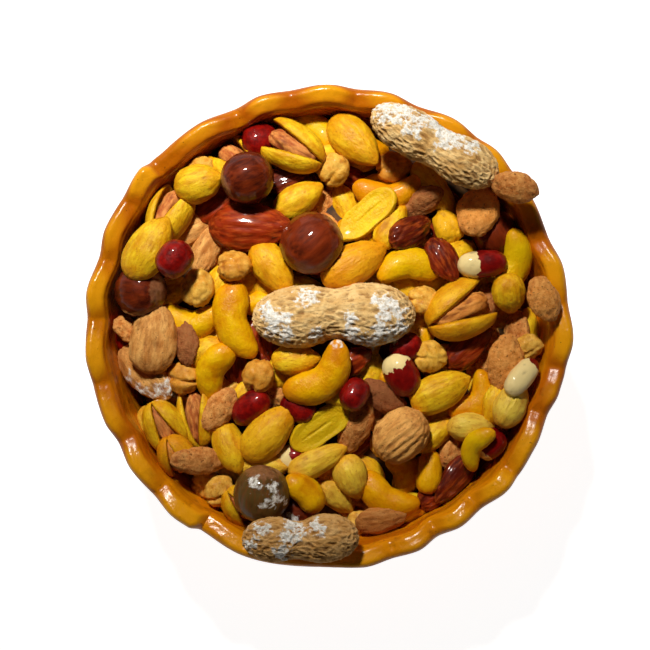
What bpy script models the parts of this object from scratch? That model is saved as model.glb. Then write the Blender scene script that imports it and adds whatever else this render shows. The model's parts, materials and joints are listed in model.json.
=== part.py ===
"""A handmade glazed bowl with a wavy lip, heaped with mixed nuts and roasted chickpeas.

The bowl stands on its foot ring with its middle on the Z axis. The heap is one solid: a core that fills the
bowl, with every nut that shows fused on where it came to rest. Three peanuts in their shells lie on top.
Sizes are in millimetres here and become metres when a mesh is made.
"""

import math

import bmesh
import bpy
import numpy as np
from mathutils import Matrix, Vector

MM = 0.001

# The bowl
RIM_RADIUS = 68.0
RIM_HEIGHT = 56.0
LIP_WIDTH = 5.6
FOOT_RADIUS = 36.5
FOOT_WIDTH = 5.5
FOOT_RECESS = 2.2
FLOOR_HEIGHT = 7.0
WAVE_HEIGHT = 1.3
WAVE_DEPTH = 17.0

# Gaps and resting
TOUCH_GAP = 0.32
CORE_GAP = 0.8
CORE_EDGE_RADIUS = 60.0
CORE_EDGE_HEIGHT = 41.0
CORE_RISE = 14.0
CORE_SEGMENTS = 18
INSIDE_LIMIT = 61.0
CELL = 1.0
FIELD_HALF = 76
SPREAD = 1.015
PLUMP = 1.07
SINK = 1.5
TOPPING_SINK = 4.0
STEEPEST = math.tan(math.radians(30))
LIP_CLEARANCE = 0.9

# The lip's crests and valleys, going round: degrees, how far out, how high
LIP_WAVES = [
    (6, 0.2, -0.7), (14, 0.6, 0.9), (22, -0.9, -1.1), (33, 0.2, 0.4), (40, 0.2, -0.3),
    (46, 1.1, 0.8), (52, 0.2, -0.8), (58, 0.8, 0.7), (68, -0.9, -0.8), (75, 0.3, 0.6),
    (83, -0.5, -0.6), (90, 0.4, 0.7), (99, -0.6, -0.6), (106, -0.2, 0.5), (113, -1.6, -1.1),
    (123, -0.2, 0.4), (133, -0.3, -0.6), (137, 0.2, -0.8), (140, 1.3, 1.1), (148, 0.3, -0.7),
    (156, 0.6, 0.5), (163, -0.8, -0.9), (172, 0.7, 1.0), (178, -0.3, -0.6), (187, 0.8, 1.0),
    (194, 0.1, -0.5), (203, 0.3, 0.5), (209, -0.8, -0.9), (216, 0.4, 0.9), (224, 0.1, -0.6),
    (231, 1.2, 1.1), (235, 0.9, 1.0), (238, -0.6, -1.1), (250, 0.8, 0.8), (268, -0.3, -0.7),
    (279, 0.6, 0.8), (286, -0.3, -0.5), (292, 0.1, 0.5), (298, -1.6, -1.0), (304, -0.4, 0.6),
    (310, -1.1, -0.8), (318, 0.6, 1.2), (322, 0.2, -0.4), (330, -0.5, 0.8), (338, -1.5, -1.0),
    (344, -0.2, 0.2), (350, 0.3, -0.7), (357, 1.6, 1.0),
]


def lip_wave(degrees):
    """How far out and how high the lip stands at an angle: round crests, sharper valleys."""
    angles = [row[0] for row in LIP_WAVES]
    turn = degrees % 360
    after = next((i for i, a in enumerate(angles) if a > turn), 0)
    low, high = LIP_WAVES[after - 1], LIP_WAVES[after]
    span = (high[0] - low[0]) % 360
    part = ((turn - low[0]) % 360) / span
    if high[2] > low[2]:
        blend = math.sin(part * math.pi / 2)
    else:
        blend = 1 - math.cos(part * math.pi / 2)
    out = low[1] + (high[1] - low[1]) * (1 - math.cos(part * math.pi)) / 2
    return out, (low[2] + (high[2] - low[2]) * blend) * WAVE_HEIGHT


INNER_PROFILE = [
    (0.0, FLOOR_HEIGHT), (22.0, FLOOR_HEIGHT + 0.3), (36.0, 10.5), (47.0, 17.0),
    (54.5, 27.0), (58.6, 38.0), (60.8, 48.0), (61.8, 53.0),
]
OUTER_PROFILE = [
    (66.9, 46.0), (64.4, 35.0), (59.5, 24.0), (51.5, 13.5), (42.5, 6.5), (37.6, 4.0),
]


def bowl_profile(grow):
    """The bowl's section from the middle of its floor, over the lip, to the middle underneath.

    grow thickens it on the inner side and the lip, for the space that the heap keeps clear of.
    """
    points = [(max(r - grow, 0.0), z + grow) for r, z in INNER_PROFILE]
    inner_edge = RIM_RADIUS - LIP_WIDTH
    points.append((inner_edge - grow, RIM_HEIGHT - 1.7 + grow * 0.5))
    points.append((inner_edge + 0.5 - grow * 0.6, RIM_HEIGHT - 0.9 + grow))
    points.append((RIM_RADIUS - 1.5, RIM_HEIGHT + grow))
    points.append((RIM_RADIUS - 0.2 + grow, RIM_HEIGHT - 1.2 + grow * 0.5))
    points.append((RIM_RADIUS - 0.1 + grow, RIM_HEIGHT - 3.5))
    points.extend(OUTER_PROFILE)
    points.append((FOOT_RADIUS, 0.0))
    points.append((FOOT_RADIUS - FOOT_WIDTH, 0.0))
    points.append((FOOT_RADIUS - FOOT_WIDTH - 1.0, FOOT_RECESS))
    points.append((0.0, FOOT_RECESS))
    return points


def waved(radius, height, degrees):
    """A point of the bowl's section, moved with the lip's waves, which fade out down the wall."""
    out, up = lip_wave(degrees)
    fade = max(0.0, 1 - (RIM_HEIGHT - height) / WAVE_DEPTH)
    fade = fade * fade if radius > 40 else 0.0
    return radius + out * fade, height + up * fade


def turned_mesh(name, profile, angles, shape=None):
    """A closed mesh turned about Z in steps of the given degrees, from a section that ends on the axis."""
    segments = len(angles)
    mesh = bmesh.new()
    rows = []
    for radius, height in profile:
        if radius == 0.0:
            rows.append([mesh.verts.new((0, 0, height * MM))])
            continue
        row = []
        for degrees in angles:
            r, z = shape(radius, height, degrees) if shape else (radius, height)
            angle = math.radians(degrees)
            row.append(mesh.verts.new((r * math.cos(angle) * MM, r * math.sin(angle) * MM, z * MM)))
        rows.append(row)
    for first, second in zip(rows, rows[1:]):
        for step in range(segments):
            after = (step + 1) % segments
            if len(first) == 1:
                mesh.faces.new((first[0], second[step], second[after]))
            elif len(second) == 1:
                mesh.faces.new((first[step], second[0], first[after]))
            else:
                mesh.faces.new((first[step], second[step], second[after], first[after]))
    bmesh.ops.recalc_face_normals(mesh, faces=mesh.faces)
    data = bpy.data.meshes.new(name)
    mesh.to_mesh(data)
    mesh.free()
    return data


# The kinds of nut, each an outline along its length and its proportions


def oval(s):
    """Half width from one end (-1) to the other (1): a plain egg of equal ends."""
    return math.sqrt(max(0.0, 1 - s * s))


def blunt(s):
    """An oval with fuller ends."""
    return max(0.0, 1 - s ** 4) ** 0.5 * (1 - 0.08 * s * s)


def drop(s):
    """An almond: round at the start and drawn to a point at the end."""
    return math.sqrt(max(0.0, 1 - s * s)) * (1 - 0.30 * s - 0.14 * s * s)


def seed(s):
    """A pistachio: an egg, a little narrower at its free end."""
    return math.sqrt(max(0.0, 1 - s * s)) * (1 - 0.14 * s)


def pod(s):
    """A peanut in its shell: two lobes, the second one larger, and a waist between them."""
    ends = max(0.0, 1 - abs(s) ** 3.2) ** 0.5
    return ends * (0.97 + 0.04 * s - 0.34 * math.exp(-((s - 0.02) / 0.26) ** 2))


class Kind:
    """The form of one kind of nut: its outline, how thick it is for its width, and its mesh."""

    def __init__(self, outline, thickness, bend=0.0, rings=4, sides=6, flat_top=False):
        self.outline = outline
        self.thickness = thickness
        self.bend = bend
        self.rings = rings
        self.sides = sides
        self.flat_top = flat_top


KINDS = {
    "hazelnut": Kind(blunt, 0.96, rings=4, sides=7),
    "almond": Kind(drop, 0.62, rings=3, sides=6),
    "pistachio": Kind(seed, 0.86, rings=3, sides=6),
    "open pistachio": Kind(seed, 0.80, rings=3, sides=5),
    "cashew": Kind(blunt, 0.86, bend=0.22, rings=5, sides=5),
    "chickpea": Kind(oval, 0.92, rings=3, sides=6),
    "red peanut": Kind(blunt, 0.92, rings=3, sides=6),
    "split": Kind(seed, 0.62, rings=3, sides=6, flat_top=True),
    "pod": Kind(pod, 0.93, rings=12, sides=10),
}

# Every nut that shows, from the lowest to the highest: its kind, where its middle lies across and up the
# bowl as seen from above, the way its long axis points in degrees, its length and its width.
# A cashew curls to the left of the way it points. A pistachio opens and an almond tapers along it.
LOWER_NUTS = [
    ("chickpea", -42.5, 41.5, 0, 7, 6.5),
    ("pistachio", -44, 9.9, 20, 12, 8),
    ("pistachio", -29, 13, 60, 11, 8),
    ("pistachio", 0, 48.4, 10, 11, 7.5),
    ("pistachio", 36, 20, 30, 12, 8),
    ("almond", 44.5, 7, 70, 11, 8.5),
    ("pistachio", 56, -0.8, 80, 11, 8),
    ("pistachio", 30, -30, 40, 13, 7),
    ("almond", 47.4, -27.4, 50, 10, 8),
    ("red peanut", 21.9, -5.8, 20, 9, 7.5),
    ("almond", 7.2, -9.5, 30, 11, 7.5),
    ("pistachio", 4, -18.4, 0, 11, 7.5),
    ("red peanut", 7.5, -18.5, 50, 9, 7.5),
    ("red peanut", -58, -2, 90, 11, 8),
    ("pistachio", -34.2, -6.7, 30, 11, 7.5),
    ("red peanut", -9.9, -36.6, 15, 9, 7.5),
    ("almond", -1, -41, 60, 11, 7),
    ("chickpea", 9, -57, 0, 8, 7.5),
    ("hazelnut", -8.5, -51.7, 0, 12, 12),
    ("red peanut", -8, -22.3, -30, 10, 8),
    ("almond", -56, -0.5, -20, 10, 7.5),
    ("cashew", 40.5, -19.6, 50, 15, 8.5),
    ("pistachio", 46.7, -21, 80, 12, 7),
    ("pistachio", 24, -53, 20, 12, 8),
    ("almond", 32, -49, 30, 12, 8),
    ("pistachio", -34, 42, 60, 12, 8),
]
MIDDLE_NUTS = [
    ("hazelnut", -55.5, 10.6, 0, 14, 14),
    ("almond", -39.5, 27.8, 20, 14, 11),
    ("almond", -30.5, 34.5, 40, 14, 9),
    ("almond", -33.7, 21.8, 65, 14.5, 7.5),
    ("almond", -11, 41, 20, 14, 9),
    ("open pistachio", -27, 49.5, 130, 18, 13),
    ("cashew", -6.2, 57, 160, 16.5, 8),
    ("cashew", 11, 56.5, -48, 17, 7.5),
    ("chickpea", -37.5, 46.8, 30, 7.4, 7.1),
    ("open pistachio", -48.5, 34.5, 70, 16, 11),
    ("chickpea", -25.9, 16.7, 10, 9, 8.3),
    ("pistachio", -8.2, 35.3, 32, 14.3, 8.5),
    ("pistachio", -15.4, 16.5, -54, 15.8, 9.5),
    ("cashew", -37.9, 3, 0, 16.5, 8),
    ("cashew", -24.5, 2, -78, 21.4, 9.5),
    ("chickpea", 1.8, 43.6, 60, 9, 8.2),
    ("chickpea", 18.3, 44.5, 20, 9.5, 8.6),
    ("cashew", 17, 38.5, 5, 18, 7.5),
    ("pistachio", 17.7, 27.8, 60, 14, 7.5),
    ("pistachio", 7, 17.2, 30, 18.7, 11),
    ("cashew", 22.3, 15.8, 185, 17, 8.5),
    ("pistachio", 29.7, 38.8, -48, 17, 8),
    ("almond", 26.7, 35.1, 38, 12.8, 7),
    ("almond", 32, 18.6, -60, 13.2, 8),
    ("pistachio", 33.6, 27.8, 120, 9.5, 8),
    ("hazelnut", 47.8, 27.1, 0, 12.5, 12.5),
    ("cashew", 54.2, 19.6, 82, 17.5, 8.5),
    ("pistachio", 50.3, 9.4, -70, 11, 9),
    ("almond", 53, -1.5, 88, 12, 7),
    ("chickpea", 26.5, 7.1, 0, 8.5, 8),
    ("chickpea", 57, -6, 40, 8, 7.5),
    ("almond", 39.3, -5.6, 37, 16, 8.5),
    ("pistachio", 53.2, -22.4, 58, 13.4, 9),
    ("almond", 15.7, -19.6, -32, 15.5, 7.5),
    ("almond", 7.9, -27.8, 72, 16.8, 8),
    ("pistachio", 2.2, -47.5, -50, 12.5, 6.5),
    ("cashew", 17, -46.7, -30, 17.5, 8.5),
    ("almond", 15, -54, 15, 14, 8),
    ("pistachio", 39.8, -27.8, -5, 12.5, 8),
    ("red peanut", 28.3, -40.5, 85, 12.9, 6.8),
    ("almond", 35, -35.2, 75, 10, 7.5),
    ("red peanut", 46.6, -33.4, 50, 9, 8),
    ("almond", 37.3, -43.9, 224, 17.2, 8.5),
    ("cashew", 41.8, -33.8, 242, 14, 5.5),
    ("pistachio", -8.9, -9, 5, 12.5, 8),
    ("chickpea", -19, -13.6, 70, 9, 8.6),
    ("red peanut", -21.3, -22.3, 40, 12, 8),
    ("cashew", -30.5, -12.5, 250, 17, 8),
    ("open pistachio", -36.5, -25.5, 95, 16.5, 9),
    ("almond", -39.2, -4.5, -85, 12, 7),
    ("chickpea", -40.4, -14.3, 0, 9.5, 8.7),
    ("pistachio", -50.6, -28.2, -50, 11, 8),
    ("open pistachio", -45.5, -27.6, -62, 14.5, 10),
    ("open pistachio", -43.6, -37, -70, 12, 9),
    ("chickpea", -34.5, -44.8, 0, 8.5, 7.8),
    ("almond", -35.6, -37.2, -8, 16.6, 7.5),
    ("chickpea", -30, -45.8, 30, 8.6, 8.3),
    ("open pistachio", -25.4, -52, -50, 11.5, 9),
    ("pistachio", -18.1, -38.9, 8, 14.5, 8.5),
    ("hazelnut", -18.1, -46, 0, 15, 15),
    ("pistachio", -3, -37.3, 24, 16.5, 7.5),
    ("cashew", -6.4, -45.8, 143, 14, 8),
    ("almond", -53, -13.2, -40, 19.2, 11.5),
]
TOP_NUTS = [
    ("hazelnut", -22, 41, 0, 13.8, 13.8),
    ("hazelnut", -4.4, 23, 0, 16.4, 16.4),
    ("almond", -21.3, 27.8, 0, 22.5, 12.9),
    ("red peanut", -20, 55.4, 15, 9.8, 9),
    ("open pistachio", -9.4, 49.8, 151, 17.6, 11.5),
    ("pistachio", -35.8, 39.7, 18, 13, 10.3),
    ("pistachio", -49.8, 21.6, 55, 18.4, 11.5),
    ("red peanut", -41.8, 18.6, 45, 10.2, 9.4),
    ("chickpea", -35.8, 10.8, 80, 10, 9.2),
    ("pistachio", 7.2, 52.1, -45, 17.5, 10.5),
    ("split", 11.3, 31.4, 40, 18.4, 9),
    ("almond", 23, 26.4, 22, 13.9, 8.5),
    ("almond", 41.8, 32.3, 82, 15.3, 11),
    ("almond", 51.9, 38.5, -5, 12.5, 8.5),
    ("red peanut", 42.8, 17.4, 3, 13.3, 7.4),
    ("almond", 60.4, 7.8, -65, 12.5, 8.5),
    ("open pistachio", 36.6, 4.5, 26, 19, 14),
    ("almond", 49.4, -9.9, 83, 15.6, 9.5),
    ("red peanut", 54.4, -14, 40, 12.5, 6.4),
    ("chickpea", 28.1, -8.3, 0, 8.9, 8.7),
    ("pistachio", 31.1, -18, 25, 16.8, 10.3),
    ("red peanut", 20.5, -13.2, -62, 12.2, 9),
    ("hazelnut", 20.3, -30.1, 17, 16, 14),
    ("split", -2, -27.8, 36, 18.5, 9),
    ("pistachio", 6.5, -41.6, -72, 12, 9),
    ("pistachio", -27.3, -33.4, -71, 13.8, 8.5),
    ("pistachio", -16.5, -29.7, 49, 18.2, 10.5),
    ("almond", -30.1, -23, 54, 13.3, 7.8),
    ("almond", -48.2, -3.4, 83, 18.6, 13),
    ("cashew", -2.5, -12.6, 45, 20.5, 9.5),
]
PODS = {
    "peanut_middle": ("pod", 1.7, 3, 2, 46, 19.5),
    "peanut_back": ("pod", 29.6, 50.4, -29, 40, 14.8),
    "peanut_front": ("pod", -7.5, -58.6, -3, 33, 15.5),
}
OVER_THE_LIP = {(51.9, 38.5), (60.4, 7.8), (29.6, 50.4), (-7.5, -58.6)}


def core_height(radius):
    """The top of the core, a low dome under the nuts that show."""
    return CORE_EDGE_HEIGHT + CORE_RISE * (1 - (radius / CORE_EDGE_RADIUS) ** 2)


def wall_radius(height):
    """The bowl's inner radius at a height."""
    heights = [z for r, z in INNER_PROFILE[1:]]
    radii = [r for r, z in INNER_PROFILE[1:]]
    return float(np.interp(height, heights, radii))


def start_field():
    """The height of what a nut can rest on, cell by cell, before any nut is laid."""
    steps = np.arange(-FIELD_HALF, FIELD_HALF + CELL, CELL)
    across, up = np.meshgrid(steps, steps, indexing="ij")
    radius = np.hypot(across, up)
    field = np.where(radius < RIM_RADIUS - LIP_WIDTH, core_height(radius), -100.0)
    for cell in zip(*np.nonzero((radius >= RIM_RADIUS - LIP_WIDTH) & (radius < RIM_RADIUS))):
        out, lift = lip_wave(math.degrees(math.atan2(up[cell], across[cell])))
        field[cell] = RIM_HEIGHT - 0.3 + lift
    return across, up, field


def axes_of(heading, slope_x, slope_y):
    """A nut's three directions: along it, across it and up, tilted to the slope that it lies on."""
    up = Vector((-slope_x, -slope_y, 1)).normalized()
    along = Vector((math.cos(heading), math.sin(heading), 0))
    along = (along - up * along.dot(up)).normalized()
    across = up.cross(along)
    return Matrix((along, across, up)).transposed()


def skin_heights(turn, half_sizes, dx, dy):
    """The lower and upper skin of a tilted egg over the cells dx, dy, and where it covers them."""
    turn = np.array(turn)
    form = turn @ np.diag([1 / h ** 2 for h in half_sizes]) @ turn.T
    middle = form[0, 2] * dx + form[1, 2] * dy
    flat = form[0, 0] * dx ** 2 + 2 * form[0, 1] * dx * dy + form[1, 1] * dy ** 2 - 1
    inside = middle ** 2 - form[2, 2] * flat
    covered = inside > 0
    root = np.sqrt(np.where(covered, inside, 0))
    return (-middle - root) / form[2, 2], (-middle + root) / form[2, 2], covered


def sizes_of(row):
    """A nut's length, width and height."""
    kind, _, _, _, length, width = row
    plump = 1.0 if kind == "pod" else PLUMP
    return length * plump, width * plump, width * plump * KINDS[kind].thickness


def kept_inside(row):
    """A nut's middle, moved in far enough that the nut clears the bowl's wall."""
    _, x, y, heading, _, _ = row
    length, width, _ = sizes_of(row)
    if (x, y) in OVER_THE_LIP:
        return x, y
    radius = math.hypot(x, y) * SPREAD
    off = math.radians(heading) - math.atan2(y, x)
    reach = math.hypot(length / 2 * math.cos(off), width / 2 * math.sin(off))
    moved = min(radius, INSIDE_LIMIT - reach) / math.hypot(x, y)
    return x * moved, y * moved


def lay(row, cells, sink):
    """Lays one nut on the field: finds its slope and height, then raises the field to its top."""
    across, up, field = cells
    heading = math.radians(row[3])
    x, y = kept_inside(row)
    length, width, height = sizes_of(row)
    half_sizes = (length / 2, width / 2, height / 2)
    near = np.hypot(across - x, up - y) < (length + width) / 4
    near &= (field > 0) & (np.hypot(across, up) < INSIDE_LIMIT + 2)
    plane = np.column_stack([across[near] - x, up[near] - y, np.ones(near.sum())])
    slope_x, slope_y, _ = np.linalg.lstsq(plane, field[near], rcond=None)[0]
    steep = max(1.0, math.hypot(slope_x, slope_y) / STEEPEST)
    turn = axes_of(heading, slope_x / steep, slope_y / steep)
    low, high, covered = skin_heights(turn, half_sizes, across - x, up - y)
    rest = np.percentile((field - low)[covered], 88) - sink
    if (row[1], row[2]) in OVER_THE_LIP:
        radius = np.hypot(across, up)
        on_lip = covered & (radius > RIM_RADIUS - LIP_WIDTH) & (radius < RIM_RADIUS)
        rest = max(rest, (field - low)[on_lip].max() + LIP_CLEARANCE)
    field[covered] = np.maximum(field[covered], (rest + high)[covered])
    place = turn.to_4x4()
    place.translation = Vector((x, y, rest))
    return place


def body_points(kind, length, width, height, fewer):
    """The rings of a nut's skin along X, and the tip at each end, in millimetres about its middle."""
    rings = []
    ring_count = kind.rings - fewer
    sides = kind.sides - fewer
    wider = 1 / math.cos(math.pi / sides) ** 0.5
    for step in range(ring_count):
        s = -math.cos(math.pi * (step + 0.75) / (ring_count + 0.5))
        half = kind.outline(s) * wider
        curl = kind.bend * length * (s * s - 0.45)
        ring = []
        for side in range(sides):
            angle = 2 * math.pi * side / sides
            lift = math.sin(angle) * half * height / 2
            if kind.flat_top:
                lift = min(lift, 0.12 * height)
            ring.append(Vector((s * length / 2, curl + math.cos(angle) * half * width / 2, lift)))
        rings.append(ring)
    tips = [Vector((s * length / 2, kind.bend * length * 0.55, 0)) for s in (-1, 1)]
    return rings, tips


def body_mesh(name, kind, length, width, height, place, fewer=0):
    """A closed low mesh of one nut at its place, with fewer rings and sides where little of it shows."""
    rings, tips = body_points(kind, length, width, height, fewer)
    sides = len(rings[0])
    mesh = bmesh.new()
    rows = [[mesh.verts.new(place @ p * MM) for p in ring] for ring in rings]
    start = mesh.verts.new(place @ tips[0] * MM)
    end = mesh.verts.new(place @ tips[1] * MM)
    for side in range(sides):
        after = (side + 1) % sides
        mesh.faces.new((start, rows[0][side], rows[0][after]))
        mesh.faces.new((end, rows[-1][after], rows[-1][side]))
        for first, second in zip(rows, rows[1:]):
            mesh.faces.new((first[side], second[side], second[after], first[after]))
    bmesh.ops.recalc_face_normals(mesh, faces=mesh.faces)
    bmesh.ops.triangulate(mesh, faces=mesh.faces)
    data = bpy.data.meshes.new(name)
    mesh.to_mesh(data)
    mesh.free()
    return data


def nut_meshes(row, place, fewer):
    """The meshes of one nut: one for most, and two leaves with a kernel between for an open pistachio."""
    name = row[0]
    kind = KINDS[name]
    length, width, height = sizes_of(row)
    if name != "open pistachio":
        return [body_mesh(name, kind, length, width, height, place, fewer)]
    meshes = [body_mesh("kernel", kind, length * 0.84, width * 0.50, height * 0.9, place, fewer=1)]
    for side in (-1, 1):
        hinge = Matrix.Translation((-length / 2, 0, 0))
        swing = hinge @ Matrix.Rotation(side * math.radians(13), 4, "Z") @ hinge.inverted()
        leaf = place @ swing @ Matrix.Translation((0, side * width * 0.19, 0))
        meshes.append(body_mesh("leaf", kind, length, width * 0.40, height * 1.05, leaf))
    return meshes


def principled(name, colour, roughness, coat=0.0):
    """A plain material with one colour."""
    material = bpy.data.materials.new(name)
    material.use_nodes = True
    shader = material.node_tree.nodes["Principled BSDF"]
    shader.inputs["Base Color"].default_value = (*colour, 1)
    shader.inputs["Roughness"].default_value = roughness
    shader.inputs["Metallic"].default_value = 0.0
    shader.inputs["Coat Weight"].default_value = coat
    material.diffuse_color = (*colour, 1)
    return material


def add_object(name, data, material, collection):
    """An object for a mesh, with its material, in a collection."""
    data.materials.clear()
    data.materials.append(material)
    thing = bpy.data.objects.new(name, data)
    collection.objects.link(thing)
    return thing


def applied(thing):
    """The object's mesh with its modifiers applied, and the modifiers gone."""
    graph = bpy.context.evaluated_depsgraph_get()
    data = bpy.data.meshes.new_from_object(thing.evaluated_get(graph))
    thing.modifiers.clear()
    old = thing.data
    thing.data = data
    bpy.data.meshes.remove(old)


def island_volume(faces):
    """The signed volume that a set of faces closes."""
    total = 0.0
    for face in faces:
        a = face.verts[0].co
        for first, second in zip(face.verts[1:], face.verts[2:]):
            total += a.dot(first.co.cross(second.co))
    return total / 6


def keep_largest(thing):
    """Drops loose scraps and fills sealed hollows: only the largest closed skin stays."""
    mesh = bmesh.new()
    mesh.from_mesh(thing.data)
    left = set(mesh.faces)
    islands = []
    while left:
        front = [left.pop()]
        island = set(front)
        while front:
            face = front.pop()
            for edge in face.edges:
                for other in edge.link_faces:
                    if other in left:
                        left.remove(other)
                        island.add(other)
                        front.append(other)
        islands.append(island)
    islands.sort(key=island_volume)
    loose = [face for island in islands[:-1] for face in island]
    bmesh.ops.delete(mesh, geom=loose, context="FACES")
    mesh.to_mesh(thing.data)
    mesh.free()
    print(f"{thing.name}: {len(islands)} skins, the largest one kept")


def core_profile():
    """The core's section: up the inside of the bowl, then over the dome to its middle."""
    points = [(0.0, FLOOR_HEIGHT + CORE_GAP)]
    for radius, height in INNER_PROFILE[1:]:
        if height < CORE_EDGE_HEIGHT - 4:
            points.append((radius - CORE_GAP, height + CORE_GAP))
    edge = wall_radius(CORE_EDGE_HEIGHT) - CORE_GAP
    points.append((edge, CORE_EDGE_HEIGHT))
    for share in (0.86, 0.6, 0.3):
        points.append((edge * share, core_height(edge * share)))
    points.append((0.0, core_height(0)))
    return points[::-1]


def remove_all(collection):
    """Removes a collection and its objects with their meshes."""
    for thing in list(collection.objects):
        data = thing.data
        bpy.data.objects.remove(thing)
        bpy.data.meshes.remove(data)
    bpy.data.collections.remove(collection)


def boolean(thing, name, operation, collection):
    """Adds an exact Boolean with a whole collection."""
    modifier = thing.modifiers.new(name, "BOOLEAN")
    modifier.operation = operation
    modifier.operand_type = "COLLECTION"
    modifier.collection = collection
    modifier.solver = "EXACT"


def main():
    for old in list(bpy.data.objects):
        bpy.data.objects.remove(old)
    scene = bpy.context.scene.collection
    lip_angles = [degrees for degrees, out, up in LIP_WAVES]
    core_angles = [360 * step / CORE_SEGMENTS for step in range(CORE_SEGMENTS)]
    glaze = principled("amber_glaze", (0.72, 0.30, 0.02), 0.22, 0.5)
    mixed = principled("roasted_nuts", (0.55, 0.33, 0.08), 0.55)
    husk = principled("peanut_shell", (0.62, 0.44, 0.22), 0.85)

    bowl = add_object("bowl", turned_mesh("bowl", bowl_profile(0.0), lip_angles, waved), glaze, scene)
    bowl.data.shade_smooth()
    bowl.data.set_sharp_from_angle(angle=math.radians(35))

    nuts = bpy.data.collections.new("nuts")
    cutters = bpy.data.collections.new("clearance")
    scene.children.link(nuts)
    scene.children.link(cutters)
    cells = start_field()
    laid = []
    for row in LOWER_NUTS + MIDDLE_NUTS:
        laid.append((row, lay(row, cells, SINK)))
    for name, row in PODS.items():
        place = lay(row, cells, TOPPING_SINK)
        kind = KINDS[row[0]]
        length, width, height = sizes_of(row)
        add_object(name, body_mesh(name, kind, length, width, height, place), husk, scene)
        room = 2 * TOUCH_GAP + 0.2
        sizes = (length + room, width + room * 1.2, height + room * 1.2)
        add_object(name + "_room", body_mesh(name, kind, *sizes, place), husk, cutters)
    for row in TOP_NUTS:
        laid.append((row, lay(row, cells, SINK)))
    for row, place in laid:
        for data in nut_meshes(row, place, fewer=row in LOWER_NUTS):
            add_object(data.name, data, mixed, nuts)
    room = turned_mesh("room", bowl_profile(TOUCH_GAP), lip_angles, waved)
    add_object("bowl_room", room, glaze, cutters)

    heap = add_object("nut_heap", turned_mesh("core", core_profile(), core_angles), mixed, scene)
    boolean(heap, "Fuse", "UNION", nuts)
    boolean(heap, "Clear", "DIFFERENCE", cutters)
    bpy.context.view_layer.update()
    applied(heap)
    remove_all(nuts)
    remove_all(cutters)
    keep_largest(heap)
    heap.data.materials.clear()
    heap.data.materials.append(mixed)
    for thing in bpy.context.scene.objects:
        triangles = sum(len(p.vertices) - 2 for p in thing.data.polygons)
        print(f"{thing.name}: {triangles} triangles")


main()
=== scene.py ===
# %% [markdown]
# # A glazed bowl heaped with mixed nuts
#
# The real object is a handmade amber bowl with a wavy lip. It holds saffron pistachios, cashews, almonds,
# hazelnuts, red peanuts and roasted chickpeas, and three peanuts in salted shells lie on top.
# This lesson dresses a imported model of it. The model is a frame that never moves: it says where the bowl,
# the heap and the three peanuts are, and the script puts finely made pieces in their places.

# %% Load the frame
import json
import math

import bpy
import numpy as np
from mathutils import Matrix, Vector

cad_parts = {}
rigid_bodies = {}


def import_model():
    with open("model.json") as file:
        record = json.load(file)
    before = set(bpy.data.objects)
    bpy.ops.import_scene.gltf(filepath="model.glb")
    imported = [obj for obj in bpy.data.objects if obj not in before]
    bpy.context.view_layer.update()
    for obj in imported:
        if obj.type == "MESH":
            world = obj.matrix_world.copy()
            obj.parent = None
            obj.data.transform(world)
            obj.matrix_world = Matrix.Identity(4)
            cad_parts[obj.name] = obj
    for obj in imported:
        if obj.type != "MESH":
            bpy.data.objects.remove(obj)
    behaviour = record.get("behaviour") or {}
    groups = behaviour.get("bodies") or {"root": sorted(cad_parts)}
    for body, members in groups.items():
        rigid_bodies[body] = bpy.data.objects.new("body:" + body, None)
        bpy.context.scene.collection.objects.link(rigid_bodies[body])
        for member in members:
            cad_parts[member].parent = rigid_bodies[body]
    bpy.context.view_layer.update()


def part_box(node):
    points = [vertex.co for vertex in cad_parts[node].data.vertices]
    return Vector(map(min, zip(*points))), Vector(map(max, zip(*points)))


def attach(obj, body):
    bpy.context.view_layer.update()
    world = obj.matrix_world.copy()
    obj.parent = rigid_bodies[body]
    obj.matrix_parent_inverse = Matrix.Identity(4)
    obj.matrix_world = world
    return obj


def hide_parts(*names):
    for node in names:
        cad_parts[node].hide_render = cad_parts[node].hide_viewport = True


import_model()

MM = 0.001

# %% [markdown]
# ## A small kit for node trees
#
# Materials and Geometry Nodes are both trees of nodes, and both get long when every link is written out.
# One short class can add a node and fill its sockets, each from a plain value or from another node's
# output. The rest of the script then reads like the recipe of each surface.

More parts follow.
